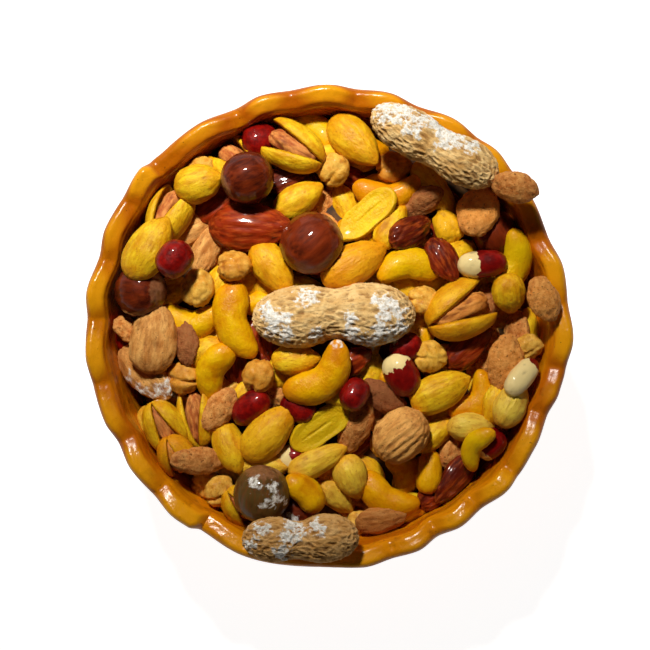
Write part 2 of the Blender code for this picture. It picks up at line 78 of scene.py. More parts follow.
# %% A maker of nodes
class Maker:
    """Adds nodes to one tree. A socket is fed by a value or by another node's output."""

    def __init__(self, tree):
        self.tree = tree

    def feed(self, socket, value):
        if isinstance(value, bpy.types.NodeSocket):
            self.tree.links.new(value, socket)
        else:
            socket.default_value = value

    def add(self, kind, feeds=None, **settings):
        node = self.tree.nodes.new(kind)
        for name, value in settings.items():
            setattr(node, name, value)
        for name, value in (feeds or {}).items():
            self.feed(node.inputs[name], value)
        return node

    def math(self, operation, a, b=0.0):
        node = self.add("ShaderNodeMath", operation=operation)
        self.feed(node.inputs[0], a)
        self.feed(node.inputs[1], b)
        return node.outputs[0]

    def mul(self, a, b):
        return self.math("MULTIPLY", a, b)

    def plus(self, a, b):
        return self.math("ADD", a, b)

    def swing(self, value, width):
        """A value from 0 to 1, such as noise, made to swing about 0 over the width."""
        return self.mul(self.math("SUBTRACT", value, 0.5), width)

    def vector(self, operation, a, b, result="Vector"):
        node = self.add("ShaderNodeVectorMath", operation=operation)
        self.feed(node.inputs[0], a)
        self.feed(node.inputs[1], b)
        return node.outputs[result]

    def times(self, a, factor):
        node = self.add("ShaderNodeVectorMath", {"Scale": factor}, operation="SCALE")
        self.feed(node.inputs[0], a)
        return node.outputs["Vector"]

    def part(self, vector, axis):
        node = self.add("ShaderNodeSeparateXYZ")
        self.feed(node.inputs[0], vector)
        return node.outputs[axis]

    def span(self, value, low, high, to_low=0.0, to_high=1.0):
        """A smooth step: to_low where the value is below low, to_high above high."""
        node = self.add("ShaderNodeMapRange", interpolation_type="SMOOTHSTEP")
        for socket, number in zip(node.inputs[:5], (value, low, high, to_low, to_high)):
            self.feed(socket, number)
        return node.outputs[0]

    def mix(self, factor, a, b):
        """A colour between a and b."""
        node = self.add("ShaderNodeMix", data_type="RGBA")
        self.feed(node.inputs[0], factor)
        self.feed(node.inputs[6], a)
        self.feed(node.inputs[7], b)
        return node.outputs[2]

    def noise(self, place, seed, size, detail=2.0, roughness=0.5):
        """Soft noise of the given grain size, different for each seed."""
        feeds = {"Vector": place, "W": seed, "Scale": 1.0 / size, "Detail": detail, "Roughness": roughness}
        node = self.add("ShaderNodeTexNoise", feeds, noise_dimensions="4D")
        return node.outputs["Fac"]

    def cells(self, place):
        """The distance to the edge of the nearest cell, for cells of size 1."""
        feeds = {"Vector": place, "Scale": 1.0}
        node = self.add("ShaderNodeTexVoronoi", feeds, feature="DISTANCE_TO_EDGE")
        return node.outputs["Distance"]

# %% Groups and colours
def new_group(kind, name, takes, gives):
    """A node group with named sockets, its maker of nodes, its inputs and its output node."""
    tree = bpy.data.node_groups.new(name, kind)
    for way, sockets in (("INPUT", takes), ("OUTPUT", gives)):
        for title, holds in sockets.items():
            tree.interface.new_socket(title, in_out=way, socket_type="NodeSocket" + holds)
    make = Maker(tree)
    return tree, make, make.add("NodeGroupInput").outputs, make.add("NodeGroupOutput")


def srgb(red, green, blue):
    """A colour as read from a screen, 0 to 255, turned into the light values that shaders use."""
    light = []
    for level in (red, green, blue):
        share = level / 255
        light.append(share / 12.92 if share <= 0.04045 else ((share + 0.055) / 1.055) ** 2.4)
    return (*light, 1.0)


# %% [markdown]
# ## The bowl
#
# The bowl was thrown on a wheel and its lip was pinched by hand, so it is a turned shape whose edge waves
# in and out, with round crests and sharper valleys. A Screw modifier would turn the section but not wave
# it. So the section is one smooth curve of points, turned in code, and each point is moved by the wave,
# which fades out down the wall.

# %% The bowl's sizes in millimetres
RIM_RADIUS = 68.0
RIM_HEIGHT = 56.0
LIP_WIDTH = 5.6
FOOT_RADIUS = 36.5
FOOT_WIDTH = 5.5
FOOT_RECESS = 2.2
FLOOR_HEIGHT = 7.0
WAVE_HEIGHT = 1.3
WAVE_DEPTH = 17.0
WAVE_FROM_RADIUS = 40.0
BOWL_TURNS = 540
SECTION_STEPS = 5

# %% The lip's waves
# Its crests and valleys, going round: degrees, how far out, how high
LIP_WAVES = [
    (6, 0.2, -0.7), (14, 0.6, 0.9), (22, -0.9, -1.1), (33, 0.2, 0.4), (40, 0.2, -0.3),
    (46, 1.1, 0.8), (52, 0.2, -0.8), (58, 0.8, 0.7), (68, -0.9, -0.8), (75, 0.3, 0.6),
    (83, -0.5, -0.6), (90, 0.4, 0.7), (99, -0.6, -0.6), (106, -0.2, 0.5), (113, -1.6, -1.1),
    (123, -0.2, 0.4), (133, -0.3, -0.6), (137, 0.2, -0.8), (140, 1.3, 1.1), (148, 0.3, -0.7),
    (156, 0.6, 0.5), (163, -0.8, -0.9), (172, 0.7, 1.0), (178, -0.3, -0.6), (187, 0.8, 1.0),
    (194, 0.1, -0.5), (203, 0.3, 0.5), (209, -0.8, -0.9), (216, 0.4, 0.9), (224, 0.1, -0.6),
    (231, 1.2, 1.1), (235, 0.9, 1.0), (238, -0.6, -1.1), (250, 0.8, 0.8), (268, -0.3, -0.7),
    (279, 0.6, 0.8), (286, -0.3, -0.5), (292, 0.1, 0.5), (298, -1.6, -1.0), (304, -0.4, 0.6),
    (310, -1.1, -0.8), (318, 0.6, 1.2), (322, 0.2, -0.4), (330, -0.5, 0.8), (338, -1.5, -1.0),
    (344, -0.2, 0.2), (350, 0.3, -0.7), (357, 1.6, 1.0),
]


def lip_wave(degrees):
    """How far out and how high the lip stands at an angle: round crests, sharper valleys."""
    angles = [row[0] for row in LIP_WAVES]
    turn = degrees % 360
    after = next((i for i, a in enumerate(angles) if a > turn), 0)
    low, high = LIP_WAVES[after - 1], LIP_WAVES[after]
    span = (high[0] - low[0]) % 360
    part = ((turn - low[0]) % 360) / span
    if high[2] > low[2]:
        blend = math.sin(part * math.pi / 2)
    else:
        blend = 1 - math.cos(part * math.pi / 2)
    out = low[1] + (high[1] - low[1]) * (1 - math.cos(part * math.pi)) / 2
    return out, (low[2] + (high[2] - low[2]) * blend) * WAVE_HEIGHT

# %% The bowl's section
def smooth_curve(points, steps):
    """A Catmull-Rom curve through the points, with so many steps between each two."""
    points = np.array(points, float)
    padded = np.vstack([2 * points[0] - points[1], points, 2 * points[-1] - points[-2]])
    curve = []
    for p0, p1, p2, p3 in zip(padded, padded[1:], padded[2:], padded[3:]):
        for step in range(steps):
            t = step / steps
            bend = 2 * p1 + (p2 - p0) * t + (2 * p0 - 5 * p1 + 4 * p2 - p3) * t ** 2
            curve.append((bend + (3 * p1 - p0 - 3 * p2 + p3) * t ** 3) / 2)
    curve.append(points[-1])
    return curve


def bowl_section():
    """The section: up the inside from the middle of the floor, over the lip, down to the foot and under."""
    inner_edge = RIM_RADIUS - LIP_WIDTH
    wall = [
        (0.0, FLOOR_HEIGHT), (22.0, FLOOR_HEIGHT + 0.3), (36.0, 10.5), (47.0, 17.0), (54.5, 27.0),
        (58.6, 38.0), (60.8, 48.0), (61.8, 53.0), (inner_edge, RIM_HEIGHT - 1.7),
        (inner_edge + 0.7, RIM_HEIGHT - 0.7), (RIM_RADIUS - 3.2, RIM_HEIGHT - 0.25),
        (RIM_RADIUS - 1.5, RIM_HEIGHT), (RIM_RADIUS - 0.2, RIM_HEIGHT - 1.2),
        (RIM_RADIUS - 0.1, RIM_HEIGHT - 3.5), (66.9, 46.0), (64.4, 35.0), (59.5, 24.0),
        (51.5, 13.5), (42.5, 6.5), (37.6, 4.0),
    ]
    inner_foot = FOOT_RADIUS - FOOT_WIDTH
    foot = [
        (FOOT_RADIUS + 0.1, 2.0), (FOOT_RADIUS, 0.6), (FOOT_RADIUS - 0.6, 0.0),
        (inner_foot + 0.5, 0.0), (inner_foot, 0.5), (inner_foot - 1.0, FOOT_RECESS),
        (16.0, FOOT_RECESS), (0.0, FOOT_RECESS),
    ]
    return [tuple(p) for p in smooth_curve(wall, SECTION_STEPS)] + foot

# %% Turn the section
def turned(section, turns, wave):
    """Points and faces of a section turned about Z, closed at the axis at both ends."""
    points, faces, rows = [], [], []
    for radius, height in section:
        start = len(points)
        count = 1 if radius == 0.0 else turns
        for step in range(count):
            degrees = 360 * step / turns
            r, z = wave(radius, height, degrees)
            angle = math.radians(degrees)
            points.append((r * math.cos(angle), r * math.sin(angle), z))
        rows.append((start, count))
    for (first, many), (second, more) in zip(rows, rows[1:]):
        for step in range(turns):
            after = (step + 1) % turns
            if many == 1:
                faces.append((first, second + step, second + after))
            elif more == 1:
                faces.append((first + step, second, first + after))
            else:
                faces.append((first + step, second + step, second + after, first + after))
    return np.array(points), faces


WAVES = {step: lip_wave(360 * step / BOWL_TURNS) for step in range(BOWL_TURNS)}


def waved(radius, height, degrees):
    """A point of the section, moved with the lip's waves, which fade out down the wall."""
    out, up = WAVES[round(degrees * BOWL_TURNS / 360)]
    fade = max(0.0, 1 - (RIM_HEIGHT - height) / WAVE_DEPTH)
    fade = fade * fade if radius > WAVE_FROM_RADIUS else 0.0
    return radius + out * fade, height + up * fade

# %% Points into objects
def kept_within(points, node):
    """Points in millimetres, moved inside the box of a node of the frame."""
    low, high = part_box(node)
    return np.clip(points, np.array(low) / MM, np.array(high) / MM)


ATTRIBUTE_KINDS = {"rest": "FLOAT_VECTOR", "turn": "FLOAT_VECTOR", "size": "FLOAT_VECTOR", "form": "INT"}


def mesh_object(name, points, faces, skin=None, attributes=None):
    """A smooth mesh object in the scene from points in millimetres."""
    mesh = bpy.data.meshes.new(name)
    mesh.from_pydata([tuple(p) for p in np.asarray(points) * MM], [], faces)
    for title, values in (attributes or {}).items():
        kind = ATTRIBUTE_KINDS.get(title, "FLOAT")
        numbers = np.asarray(values, np.int32 if kind == "INT" else np.float32)
        key = "vector" if kind == "FLOAT_VECTOR" else "value"
        mesh.attributes.new(title, kind, "POINT").data.foreach_set(key, numbers.ravel())
    mesh.shade_smooth()
    if skin:
        mesh.materials.append(skin)
    thing = bpy.data.objects.new(name, mesh)
    bpy.context.scene.collection.objects.link(thing)
    return thing


# %% [markdown]
# The glaze is a thick, glossy amber. It ran in rings as the bowl turned, so one noise is squeezed to flat
# bands by scaling X and Y down. It is browner in patches near the lip and has fine dark specks. The crests
# of the lip get painted light, a lighter yellow, and the upper left side of the lip gets painted shade, a
# darker brown. A thin clear coat gives the gloss, and a low bump keeps the reflections from looking machine
# made.

# %% The amber glaze
def new_material(name):
    """An empty material, its maker of nodes and its shader."""
    material = bpy.data.materials.new(name)
    material.use_nodes = True
    tree = material.node_tree
    return material, Maker(tree), tree.nodes["Principled BSDF"]


SHADED_SIDE = (-0.72, 0.70, 0.0)
SHADE_FROM, SHADE_TO = 20.0, 100.0
RING_SCALE = (0.12, 0.12, 1.0)
NEAR_LIP = (30.0, 52.0)
LIT_CRESTS = (55.3, 56.9)


def glaze_material():
    """The bowl's glaze, from heights and distances in millimetres."""
    material, make, shader = new_material("amber_glaze")
    place = make.times(make.add("ShaderNodeTexCoord").outputs["Object"], 1 / MM)
    height = make.part(place, "Z")
    rings = make.vector("MULTIPLY", place, RING_SCALE)
    pooled = make.span(make.noise(rings, 1.0, 4.0, 3.0), 0.36, 0.64)
    colour = make.mix(pooled, srgb(196, 104, 4), srgb(232, 146, 8))
    near_lip = make.span(height, *NEAR_LIP, 0.15, 0.6)
    thin = make.span(make.noise(place, 4.0, 4.0, 4.0, 0.6), 0.54, 0.72)
    colour = make.mix(make.mul(thin, near_lip), colour, srgb(140, 66, 6))
    # Painted shade: the lip is browned towards its upper left side.
    toward_shade = make.vector("DOT_PRODUCT", place, SHADED_SIDE, "Value")
    toward_shade = make.plus(toward_shade, make.mul(make.noise(place, 6.0, 9.0), 60.0))
    painted_shade = make.mul(make.span(toward_shade, SHADE_FROM, SHADE_TO, 0.0, 0.9), near_lip)
    colour = make.mix(painted_shade, colour, srgb(150, 66, 2))
    # Painted light: the crests of the lip are painted a lighter yellow.
    colour = make.mix(make.span(height, *LIT_CRESTS, 0.0, 0.75), colour, srgb(248, 172, 20))
    specks = make.span(make.noise(place, 9.0, 0.8, 1.0), 0.72, 0.78)
    colour = make.mix(make.mul(specks, 0.8), colour, srgb(92, 40, 8))
    make.feed(shader.inputs["Base Color"], colour)
    make.feed(shader.inputs["Roughness"], make.span(pooled, 0.0, 1.0, 0.3, 0.2))
    shader.inputs["Specular IOR Level"].default_value = 0.3
    shader.inputs["Coat Weight"].default_value = 0.15
    shader.inputs["Coat Roughness"].default_value = 0.16
    ripple = make.noise(place, 2.0, 3.0, 3.0)
    bump = make.add("ShaderNodeBump", {"Height": ripple, "Strength": 0.8, "Distance": 0.6 * MM})
    make.feed(shader.inputs["Normal"], bump.outputs["Normal"])
    return material


# %% The finished bowl
SHARP_EDGE = math.radians(50)
bowl_points, bowl_faces = turned(bowl_section(), BOWL_TURNS, waved)
bowl = mesh_object("glazed_bowl", kept_within(bowl_points, "bowl"), bowl_faces, glaze_material())
bowl.data.set_sharp_from_angle(angle=SHARP_EDGE)
print("bowl:", len(bowl_faces), "faces")

# %% [markdown]
# ## Where each nut lies
#
# A heap can be dropped by a physics simulation, but then no nut lies where the real one does. Here each
# nut has a row: its kind, where its middle lies as seen from above, the way it points, its length and its
# width. A variant picks one of a kind's forms, and a tone from -1 to 1 shifts its colour.
# A cashew curls to the left of the way it points, a pistachio opens and an almond tapers along it.

# %% The lower nuts
LOWER_NUTS = [
    ("chickpea", -42.5, 41.5, 0, 7, 6.5),
    ("pistachio", -44, 9.9, 20, 12, 8),
    ("pistachio", -29, 13, 60, 11, 8),
    ("pistachio", 0, 48.4, 10, 11, 7.5),
    ("pistachio", 36, 20, 30, 12, 8),
    ("rough almond", 44.5, 7, 70, 11, 8.5, 0, -0.5),
    ("pistachio", 56, -0.8, 80, 11, 8),
    ("pistachio", 30, -30, 40, 13, 7),
    ("rough almond", 47.4, -27.4, 50, 10, 8),
    ("red peanut", 21.9, -5.8, 20, 9, 7.5),
    ("skin almond", 7.2, -9.5, 30, 11, 7.5),
    ("pistachio", 4, -18.4, 0, 11, 7.5),
    ("red peanut", 7.5, -18.5, 50, 9, 7.5),
    ("red peanut", -58, -2, 90, 11, 8),
    ("pistachio", -34.2, -6.7, 30, 11, 7.5),
    ("red peanut", -9.9, -36.6, 15, 9, 7.5, 0, 0.1),
    ("rough almond", -1, -41, 60, 11, 7, 0, 0.4),
    ("chickpea", 9, -57, 0, 8, 7.5),
    ("hazelnut", -8.5, -51.7, 0, 12, 12),
    ("red peanut", -8, -22.3, -30, 10, 8),
    ("rough almond", -56, -0.5, -20, 10, 7.5),
    ("cashew", 40.5, -19.6, 50, 15, 8.5, 0, -0.3),
    ("pistachio", 46.7, -21, 80, 12, 7),
    ("pistachio", 24, -53, 20, 12, 8),
    ("skin almond", 32, -49, 30, 12, 8),
    ("pistachio", -34, 42, 60, 12, 8),
]

# %% The nuts in the middle
MIDDLE_NUTS = [
    ("hazelnut", -55.5, 10.6, 0, 14, 14, 1),
    ("shell almond", -39.5, 27.8, 20, 14, 11),
    ("skin almond", -30.5, 34.5, 40, 14, 9, 0, 0.8),
    ("shell almond", -33.7, 21.8, 65, 14.5, 7.5),
    ("skin almond", -11, 41, 20, 14, 9, 0, -0.8),
    ("open pistachio", -27, 49.5, 130, 18, 13),
    ("cashew", -6.2, 57, 160, 16.5, 8, 0, 0.7),
    ("cashew", 11, 56.5, -48, 17, 7.5, 1, -0.4),
    ("chickpea", -37.5, 46.8, 30, 7.4, 7.1, 1),
    ("open pistachio", -48.5, 34.5, 70, 16, 11),
    ("chickpea", -25.9, 16.7, 10, 9, 8.3, 0, -0.4),
    ("pistachio", -8.2, 35.3, 32, 14.3, 8.5),
    ("pistachio", -15.4, 16.5, -54, 15.8, 9.5, 0, -0.3),
    ("cashew", -37.9, 3, 0, 16.5, 8, 0, 0.3),
    ("cashew", -24.5, 2, -78, 21.4, 9.5, 1),
    ("chickpea", 1.8, 43.6, 60, 9, 8.2, 1),
    ("chickpea", 18.3, 44.5, 20, 9.5, 8.6, 0, -0.6),
    ("cashew", 17, 38.5, 5, 18, 7.5, 0, -0.6),
    ("pistachio", 17.7, 27.8, 60, 14, 7.5),
    ("pistachio", 7, 17.2, 30, 18.7, 11, 1, -0.6),
    ("cashew", 22.3, 15.8, 185, 17, 8.5, 1, 0.5),
    ("pistachio", 29.7, 38.8, -48, 17, 8, 1, 0.6),
    ("rough almond", 26.7, 35.1, 38, 12.8, 7, 0, -0.7),
    ("skin almond", 32, 18.6, -60, 13.2, 8, 0, -0.2),
    ("chickpea", 33.6, 27.8, 120, 9.5, 8, 2, 1.0),
    ("hazelnut", 47.8, 27.1, 120, 12.5, 12.5, 0, 0.4),
    ("cashew", 54.2, 19.6, 82, 17.5, 8.5, 1, 0.9),
    ("pistachio", 50.3, 9.4, -70, 11, 9, 1),
    ("rough almond", 53, -1.5, 88, 12, 7, 0, -0.2),
    ("chickpea", 26.5, 7.1, 0, 8.5, 8, 1),
    ("chickpea", 57, -6, 40, 8, 7.5),
    ("skin almond", 39.3, -5.6, 37, 16, 8.5, 0, 0.2),
    ("pistachio", 53.2, -22.4, 58, 13.4, 9, 1, 0.7),
    ("rough almond", 15.7, -19.6, -32, 15.5, 7.5, 0, -0.9),
    ("rough almond", 7.9, -27.8, 72, 16.8, 8, 0, -0.3),
    ("pistachio", 2.2, -47.5, -50, 12.5, 6.5, 0, 0.5),
    ("cashew", 17, -46.7, -30, 17.5, 8.5, 1, -0.4),
    ("shell almond", 15, -54, 15, 14, 8, 0, -0.6),
    ("pistachio", 39.8, -27.8, -5, 12.5, 8, 0, 0.8),
    ("cashew", 28.3, -40.5, 85, 12.9, 6.8, 2, -0.2),
    ("rough almond", 35, -35.2, 75, 10, 7.5, 0, -0.1),
    ("red peanut", 46.6, -33.4, 50, 9, 8, 0, -0.55),
    ("skin almond", 37.3, -43.9, 224, 17.2, 8.5, 0, -0.6),
    ("cashew", 41.8, -33.8, 242, 14, 5.5, 0, 0.8),
    ("pistachio", -8.9, -9, 5, 12.5, 8),
    ("chickpea", -19, -13.6, 70, 9, 8.6, 1, -0.5),
    ("red peanut", -21.3, -22.3, 40, 12, 8),
    ("cashew", -30.5, -12.5, 250, 17, 8, 1),
    ("open pistachio", -36.5, -25.5, 95, 16.5, 9),
    ("rough almond", -39.2, -4.5, -85, 12, 7, 0, -0.8),
    ("chickpea", -40.4, -14.3, 0, 9.5, 8.7, 3, -0.4),
    ("pistachio", -50.6, -28.2, -50, 11, 8, 1, 0.4),
    ("open pistachio", -45.5, -27.6, -62, 14.5, 10),
    ("open pistachio", -43.6, -37, -70, 12, 9, 0, -0.6),
    ("chickpea", -34.5, -44.8, 0, 8.5, 7.8, 1),
    ("rough almond", -35.6, -37.2, -8, 16.6, 7.5, 0, -0.2),
    ("chickpea", -30, -45.8, 30, 8.6, 8.3, 3),
    ("open pistachio", -25.4, -52, -50, 11.5, 9),
    ("pistachio", -18.1, -38.9, 8, 14.5, 8.5, 0, 0.4),
    ("hazelnut", -18.1, -46, 90, 15, 15, 0, -1.0),
    ("pistachio", -3, -37.3, 24, 16.5, 7.5, 1, 0.3),
    ("cashew", -6.4, -45.8, 143, 14, 8, 2),
    ("shell almond", -53, -13.2, -40, 19.2, 11.5),
]

# %% The nuts on top and the three peanuts
TOP_NUTS = [
    ("hazelnut", -22, 41, 200, 13.8, 13.8, 0),
    ("hazelnut", -4.4, 23, 40, 16.4, 16.4, 0, 0.3),
    ("skin almond", -21.3, 27.8, 0, 22.5, 12.9, 0, 0.6),
    ("red peanut", -20, 55.4, 15, 9.8, 9),
    ("open pistachio", -9.4, 49.8, 151, 17.6, 11.5),
    ("pistachio", -35.8, 39.7, 18, 13, 10.3, 1),
    ("pistachio", -49.8, 21.6, 55, 18.4, 11.5, 1),
    ("red peanut", -41.8, 18.6, 45, 10.2, 9.4),
    ("chickpea", -35.8, 10.8, 80, 10, 9.2, 0),
    ("pistachio", 7.2, 52.1, -45, 17.5, 10.5, 1, -0.2),
    ("split", 11.3, 31.4, 40, 18.4, 9),
    ("skin almond", 23, 26.4, 22, 13.9, 8.5, 0, -0.7),
    ("rough almond", 41.8, 32.3, 82, 15.3, 11, 0, 0.5),
    ("rough almond", 51.9, 38.5, -5, 12.5, 8.5, 0, -0.2),
    ("red peanut", 42.8, 17.4, 3, 13.3, 7.4, 0, -0.2),
    ("rough almond", 60.4, 7.8, -65, 12.5, 8.5, 0, 0.3),
    ("open pistachio", 36.6, 4.5, 26, 19, 14, 0, -0.4),
    ("rough almond", 49.4, -9.9, 83, 15.6, 9.5, 0, 0.3),
    ("red peanut", 54.4, -14, 40, 12.5, 6.4, 0, 0.7),
    ("chickpea", 28.1, -8.3, 0, 8.9, 8.7, 0, 0.2),
    ("pistachio", 31.1, -18, 25, 16.8, 10.3, 1),
    ("red peanut", 20.5, -13.2, -62, 12.2, 9, 0, -0.5),
    ("shell almond", 20.3, -30.1, 45, 16, 14, 1, 0.4),
    ("split", -2, -27.8, 36, 18.5, 9, 1, 0.6),
    ("pistachio", 6.5, -41.6, -72, 12, 9, 0, 0.4),
    ("pistachio", -27.3, -33.4, -71, 13.8, 8.5, 0, -0.1),
    ("pistachio", -16.5, -29.7, 49, 18.2, 10.5, 0, -0.3),
    ("rough almond", -30.1, -23, 54, 13.3, 7.8, 0, -0.1),
    ("shell almond", -48.2, -3.4, 83, 18.6, 13),
    ("cashew", -2.5, -12.6, 45, 20.5, 9.5, 0, -0.2),
]
PODS = {
    "peanut_middle": ("pod", 1.7, 3, 2, 46, 19.5),
    "peanut_back": ("pod", 29.6, 50.4, -29, 40, 14.8),
    "peanut_front": ("pod", -7.5, -58.6, -3, 33, 15.5),
}
OVER_THE_LIP = {(51.9, 38.5), (60.4, 7.8), (29.6, 50.4), (-7.5, -58.6)}
ROUND_NUTS = {(20.3, -30.1)}

# %% [markdown]
# ## Laying the nuts
#
# The rows say nothing about height. The script lays the nuts one after another, as a hand would: it keeps
# a field of heights, finds the slope under the next nut, tilts the nut to it, lets it down until it rests,
# and raises the field to the nut's top. The frame was made by this rule from the same rows, so the fine
# nuts come to lie exactly where the frame's plain ones do.

# %% The laying rule
CORE_EDGE_RADIUS = 60.0
CORE_EDGE_HEIGHT = 41.0
CORE_RISE = 14.0
INSIDE_LIMIT = 61.0
CELL = 1.0
FIELD_HALF = 76
SPREAD = 1.015
PLUMP = 1.07
SINK = 1.5
TOPPING_SINK = 4.0
STEEPEST = math.tan(math.radians(30))
LIP_CLEARANCE = 0.9
LIP_SUNK = 0.3
NO_GROUND = -100.0
TOUCHING_SHARE = 88
THICKNESS = {
    "hazelnut": 0.96, "skin almond": 0.62, "rough almond": 0.62, "shell almond": 0.62, "pistachio": 0.86,
    "open pistachio": 0.80, "cashew": 0.86, "chickpea": 0.92, "red peanut": 0.92, "split": 0.62, "pod": 0.93,
}


def core_height(radius):
    """The top of the frame's core, a low dome under the nuts that show."""
    return CORE_EDGE_HEIGHT + CORE_RISE * (1 - (radius / CORE_EDGE_RADIUS) ** 2)

# %% The field of heights
def start_field():
    """The height of what a nut can rest on, cell by cell, before any nut is laid."""
    steps = np.arange(-FIELD_HALF, FIELD_HALF + CELL, CELL)
    across, up = np.meshgrid(steps, steps, indexing="ij")
    radius = np.hypot(across, up)
    field = np.where(radius < RIM_RADIUS - LIP_WIDTH, core_height(radius), NO_GROUND)
    for cell in zip(*np.nonzero((radius >= RIM_RADIUS - LIP_WIDTH) & (radius < RIM_RADIUS))):
        _, lift = lip_wave(math.degrees(math.atan2(up[cell], across[cell])))
        field[cell] = RIM_HEIGHT - LIP_SUNK + lift
    return across, up, field

# %% A nut on a slope
def axes_of(heading, slope_x, slope_y):
    """A nut's three directions: along it, across it and up, tilted to the slope that it lies on."""
    up = Vector((-slope_x, -slope_y, 1)).normalized()
    along = Vector((math.cos(heading), math.sin(heading), 0))
    along = (along - up * along.dot(up)).normalized()
    across = up.cross(along)
    return Matrix((along, across, up)).transposed()


def skin_heights(turn, half_sizes, dx, dy):
    """The lower and upper skin of a tilted egg over the cells dx, dy, and where it covers them."""
    turn = np.array(turn)
    form = turn @ np.diag([1 / h ** 2 for h in half_sizes]) @ turn.T
    middle = form[0, 2] * dx + form[1, 2] * dy
    flat = form[0, 0] * dx ** 2 + 2 * form[0, 1] * dx * dy + form[1, 1] * dy ** 2 - 1
    inside = middle ** 2 - form[2, 2] * flat
    covered = inside > 0
    root = np.sqrt(np.where(covered, inside, 0))
    return (-middle - root) / form[2, 2], (-middle + root) / form[2, 2], covered


def sizes_of(row):
    """A nut's length, width and height."""
    kind, x, y, _, length, width = row[:6]
    plump = 1.0 if kind == "pod" else PLUMP
    thickness = THICKNESS["hazelnut"] if (x, y) in ROUND_NUTS else THICKNESS[kind]
    return length * plump, width * plump, width * plump * thickness


def kept_inside(row):
    """A nut's middle, moved in far enough that the nut clears the bowl's wall."""
    _, x, y, heading = row[:4]
    length, width, _ = sizes_of(row)
    if (x, y) in OVER_THE_LIP:
        return x, y
    radius = math.hypot(x, y) * SPREAD
    off = math.radians(heading) - math.atan2(y, x)
    reach = math.hypot(length / 2 * math.cos(off), width / 2 * math.sin(off))
    moved = min(radius, INSIDE_LIMIT - reach) / math.hypot(x, y)
    return x * moved, y * moved

# %% Lay one nut
def lay(row, cells, sink):
    """Lays one nut on the field: finds its slope and height, then raises the field to its top."""
    across, up, field = cells
    heading = math.radians(row[3])
    x, y = kept_inside(row)
    length, width, height = sizes_of(row)
    half_sizes = (length / 2, width / 2, height / 2)
    near = np.hypot(across - x, up - y) < (length + width) / 4
    near &= (field > 0) & (np.hypot(across, up) < INSIDE_LIMIT + 2)
    plane = np.column_stack([across[near] - x, up[near] - y, np.ones(near.sum())])
    slope_x, slope_y, _ = np.linalg.lstsq(plane, field[near], rcond=None)[0]
    steep = max(1.0, math.hypot(slope_x, slope_y) / STEEPEST)
    turn = axes_of(heading, slope_x / steep, slope_y / steep)
    low, high, covered = skin_heights(turn, half_sizes, across - x, up - y)
    rest = np.percentile((field - low)[covered], TOUCHING_SHARE) - sink
    if (row[1], row[2]) in OVER_THE_LIP:
        radius = np.hypot(across, up)
        on_lip = covered & (radius > RIM_RADIUS - LIP_WIDTH) & (radius < RIM_RADIUS)
        rest = max(rest, (field - low)[on_lip].max() + LIP_CLEARANCE)
    field[covered] = np.maximum(field[covered], (rest + high)[covered])
    place = turn.to_4x4()
    place.translation = Vector((x, y, rest))
    return place


# %% Lay them all
cells = start_field()
bare_field = cells[2].copy()
laid = [(row, lay(row, cells, SINK)) for row in LOWER_NUTS + MIDDLE_NUTS]
pod_places = {name: lay(row, cells, TOPPING_SINK) for name, row in PODS.items()}
laid += [(row, lay(row, cells, SINK)) for row in TOP_NUTS]
print("nuts laid:", len(laid), "and", len(pod_places), "peanuts in their shells")

# %% [markdown]
# Between the nuts that were counted one looks down on more nuts in deep shade. Their places don't matter,
# but the gaps must not show a smooth core. So fillers go wherever the field is still bare, flat on the
# core and sunk into it, turned at random with a fixed seed.

# %% The fillers under the gaps
FILLER_STEP = 7.5
FILLER_JITTER = 1.5
FILLER_SINK = 3.8
FILLER_REACH = 58
BARE_RISE = 0.5
FILLER_KINDS = ["pistachio", "cashew", "rough almond", "pistachio", "skin almond", "chickpea"]


def fillers():
    """Rows and places of nuts on the core, where the laid nuts leave it bare."""
    chance = np.random.default_rng(7)
    across, up, field = cells
    bare = (field - bare_field < BARE_RISE) & (np.hypot(across, up) < FILLER_REACH)
    found = []
    steps = int(2 * CORE_EDGE_RADIUS / FILLER_STEP)
    for i in range(steps):
        for j in range(steps):
            x = -CORE_EDGE_RADIUS + (i + 0.5 + 0.5 * (j % 2)) * FILLER_STEP
            x += chance.uniform(-FILLER_JITTER, FILLER_JITTER)
            y = -CORE_EDGE_RADIUS + (j + 0.5) * FILLER_STEP + chance.uniform(-FILLER_JITTER, FILLER_JITTER)
            heading = chance.uniform(0, 360)
            kind = FILLER_KINDS[chance.integers(len(FILLER_KINDS))]
            length = chance.uniform(11, 14)
            width = length * chance.uniform(0.6, 0.7)
            if kind == "chickpea":
                length = width
            radius = math.hypot(x, y)
            room = radius + length / 2 < INSIDE_LIMIT - 1
            if room and (np.hypot(across - x, up - y)[bare] < 5.0).sum() > 5:
                place = axes_of(math.radians(heading), 0, 0).to_4x4()
                place.translation = Vector((x, y, core_height(radius) - FILLER_SINK))
                found.append(((kind, x, y, heading, length, width), place))
    return found


under = fillers()
print("fillers:", len(under))

# %% [markdown]
# ## The forms of the nuts
#
# Every kind begins as one unit form: rings of points round the X axis, from a tip at -1 to a tip at 1,
# with half width and half height 1. An outline function gives the rings' radius, and a shape function
# bends, creases or hollows the form. Scaling a unit form by a nut's half length, width and height gives
# that nut. Each point keeps its unit place in an attribute called rest, for the materials to read.

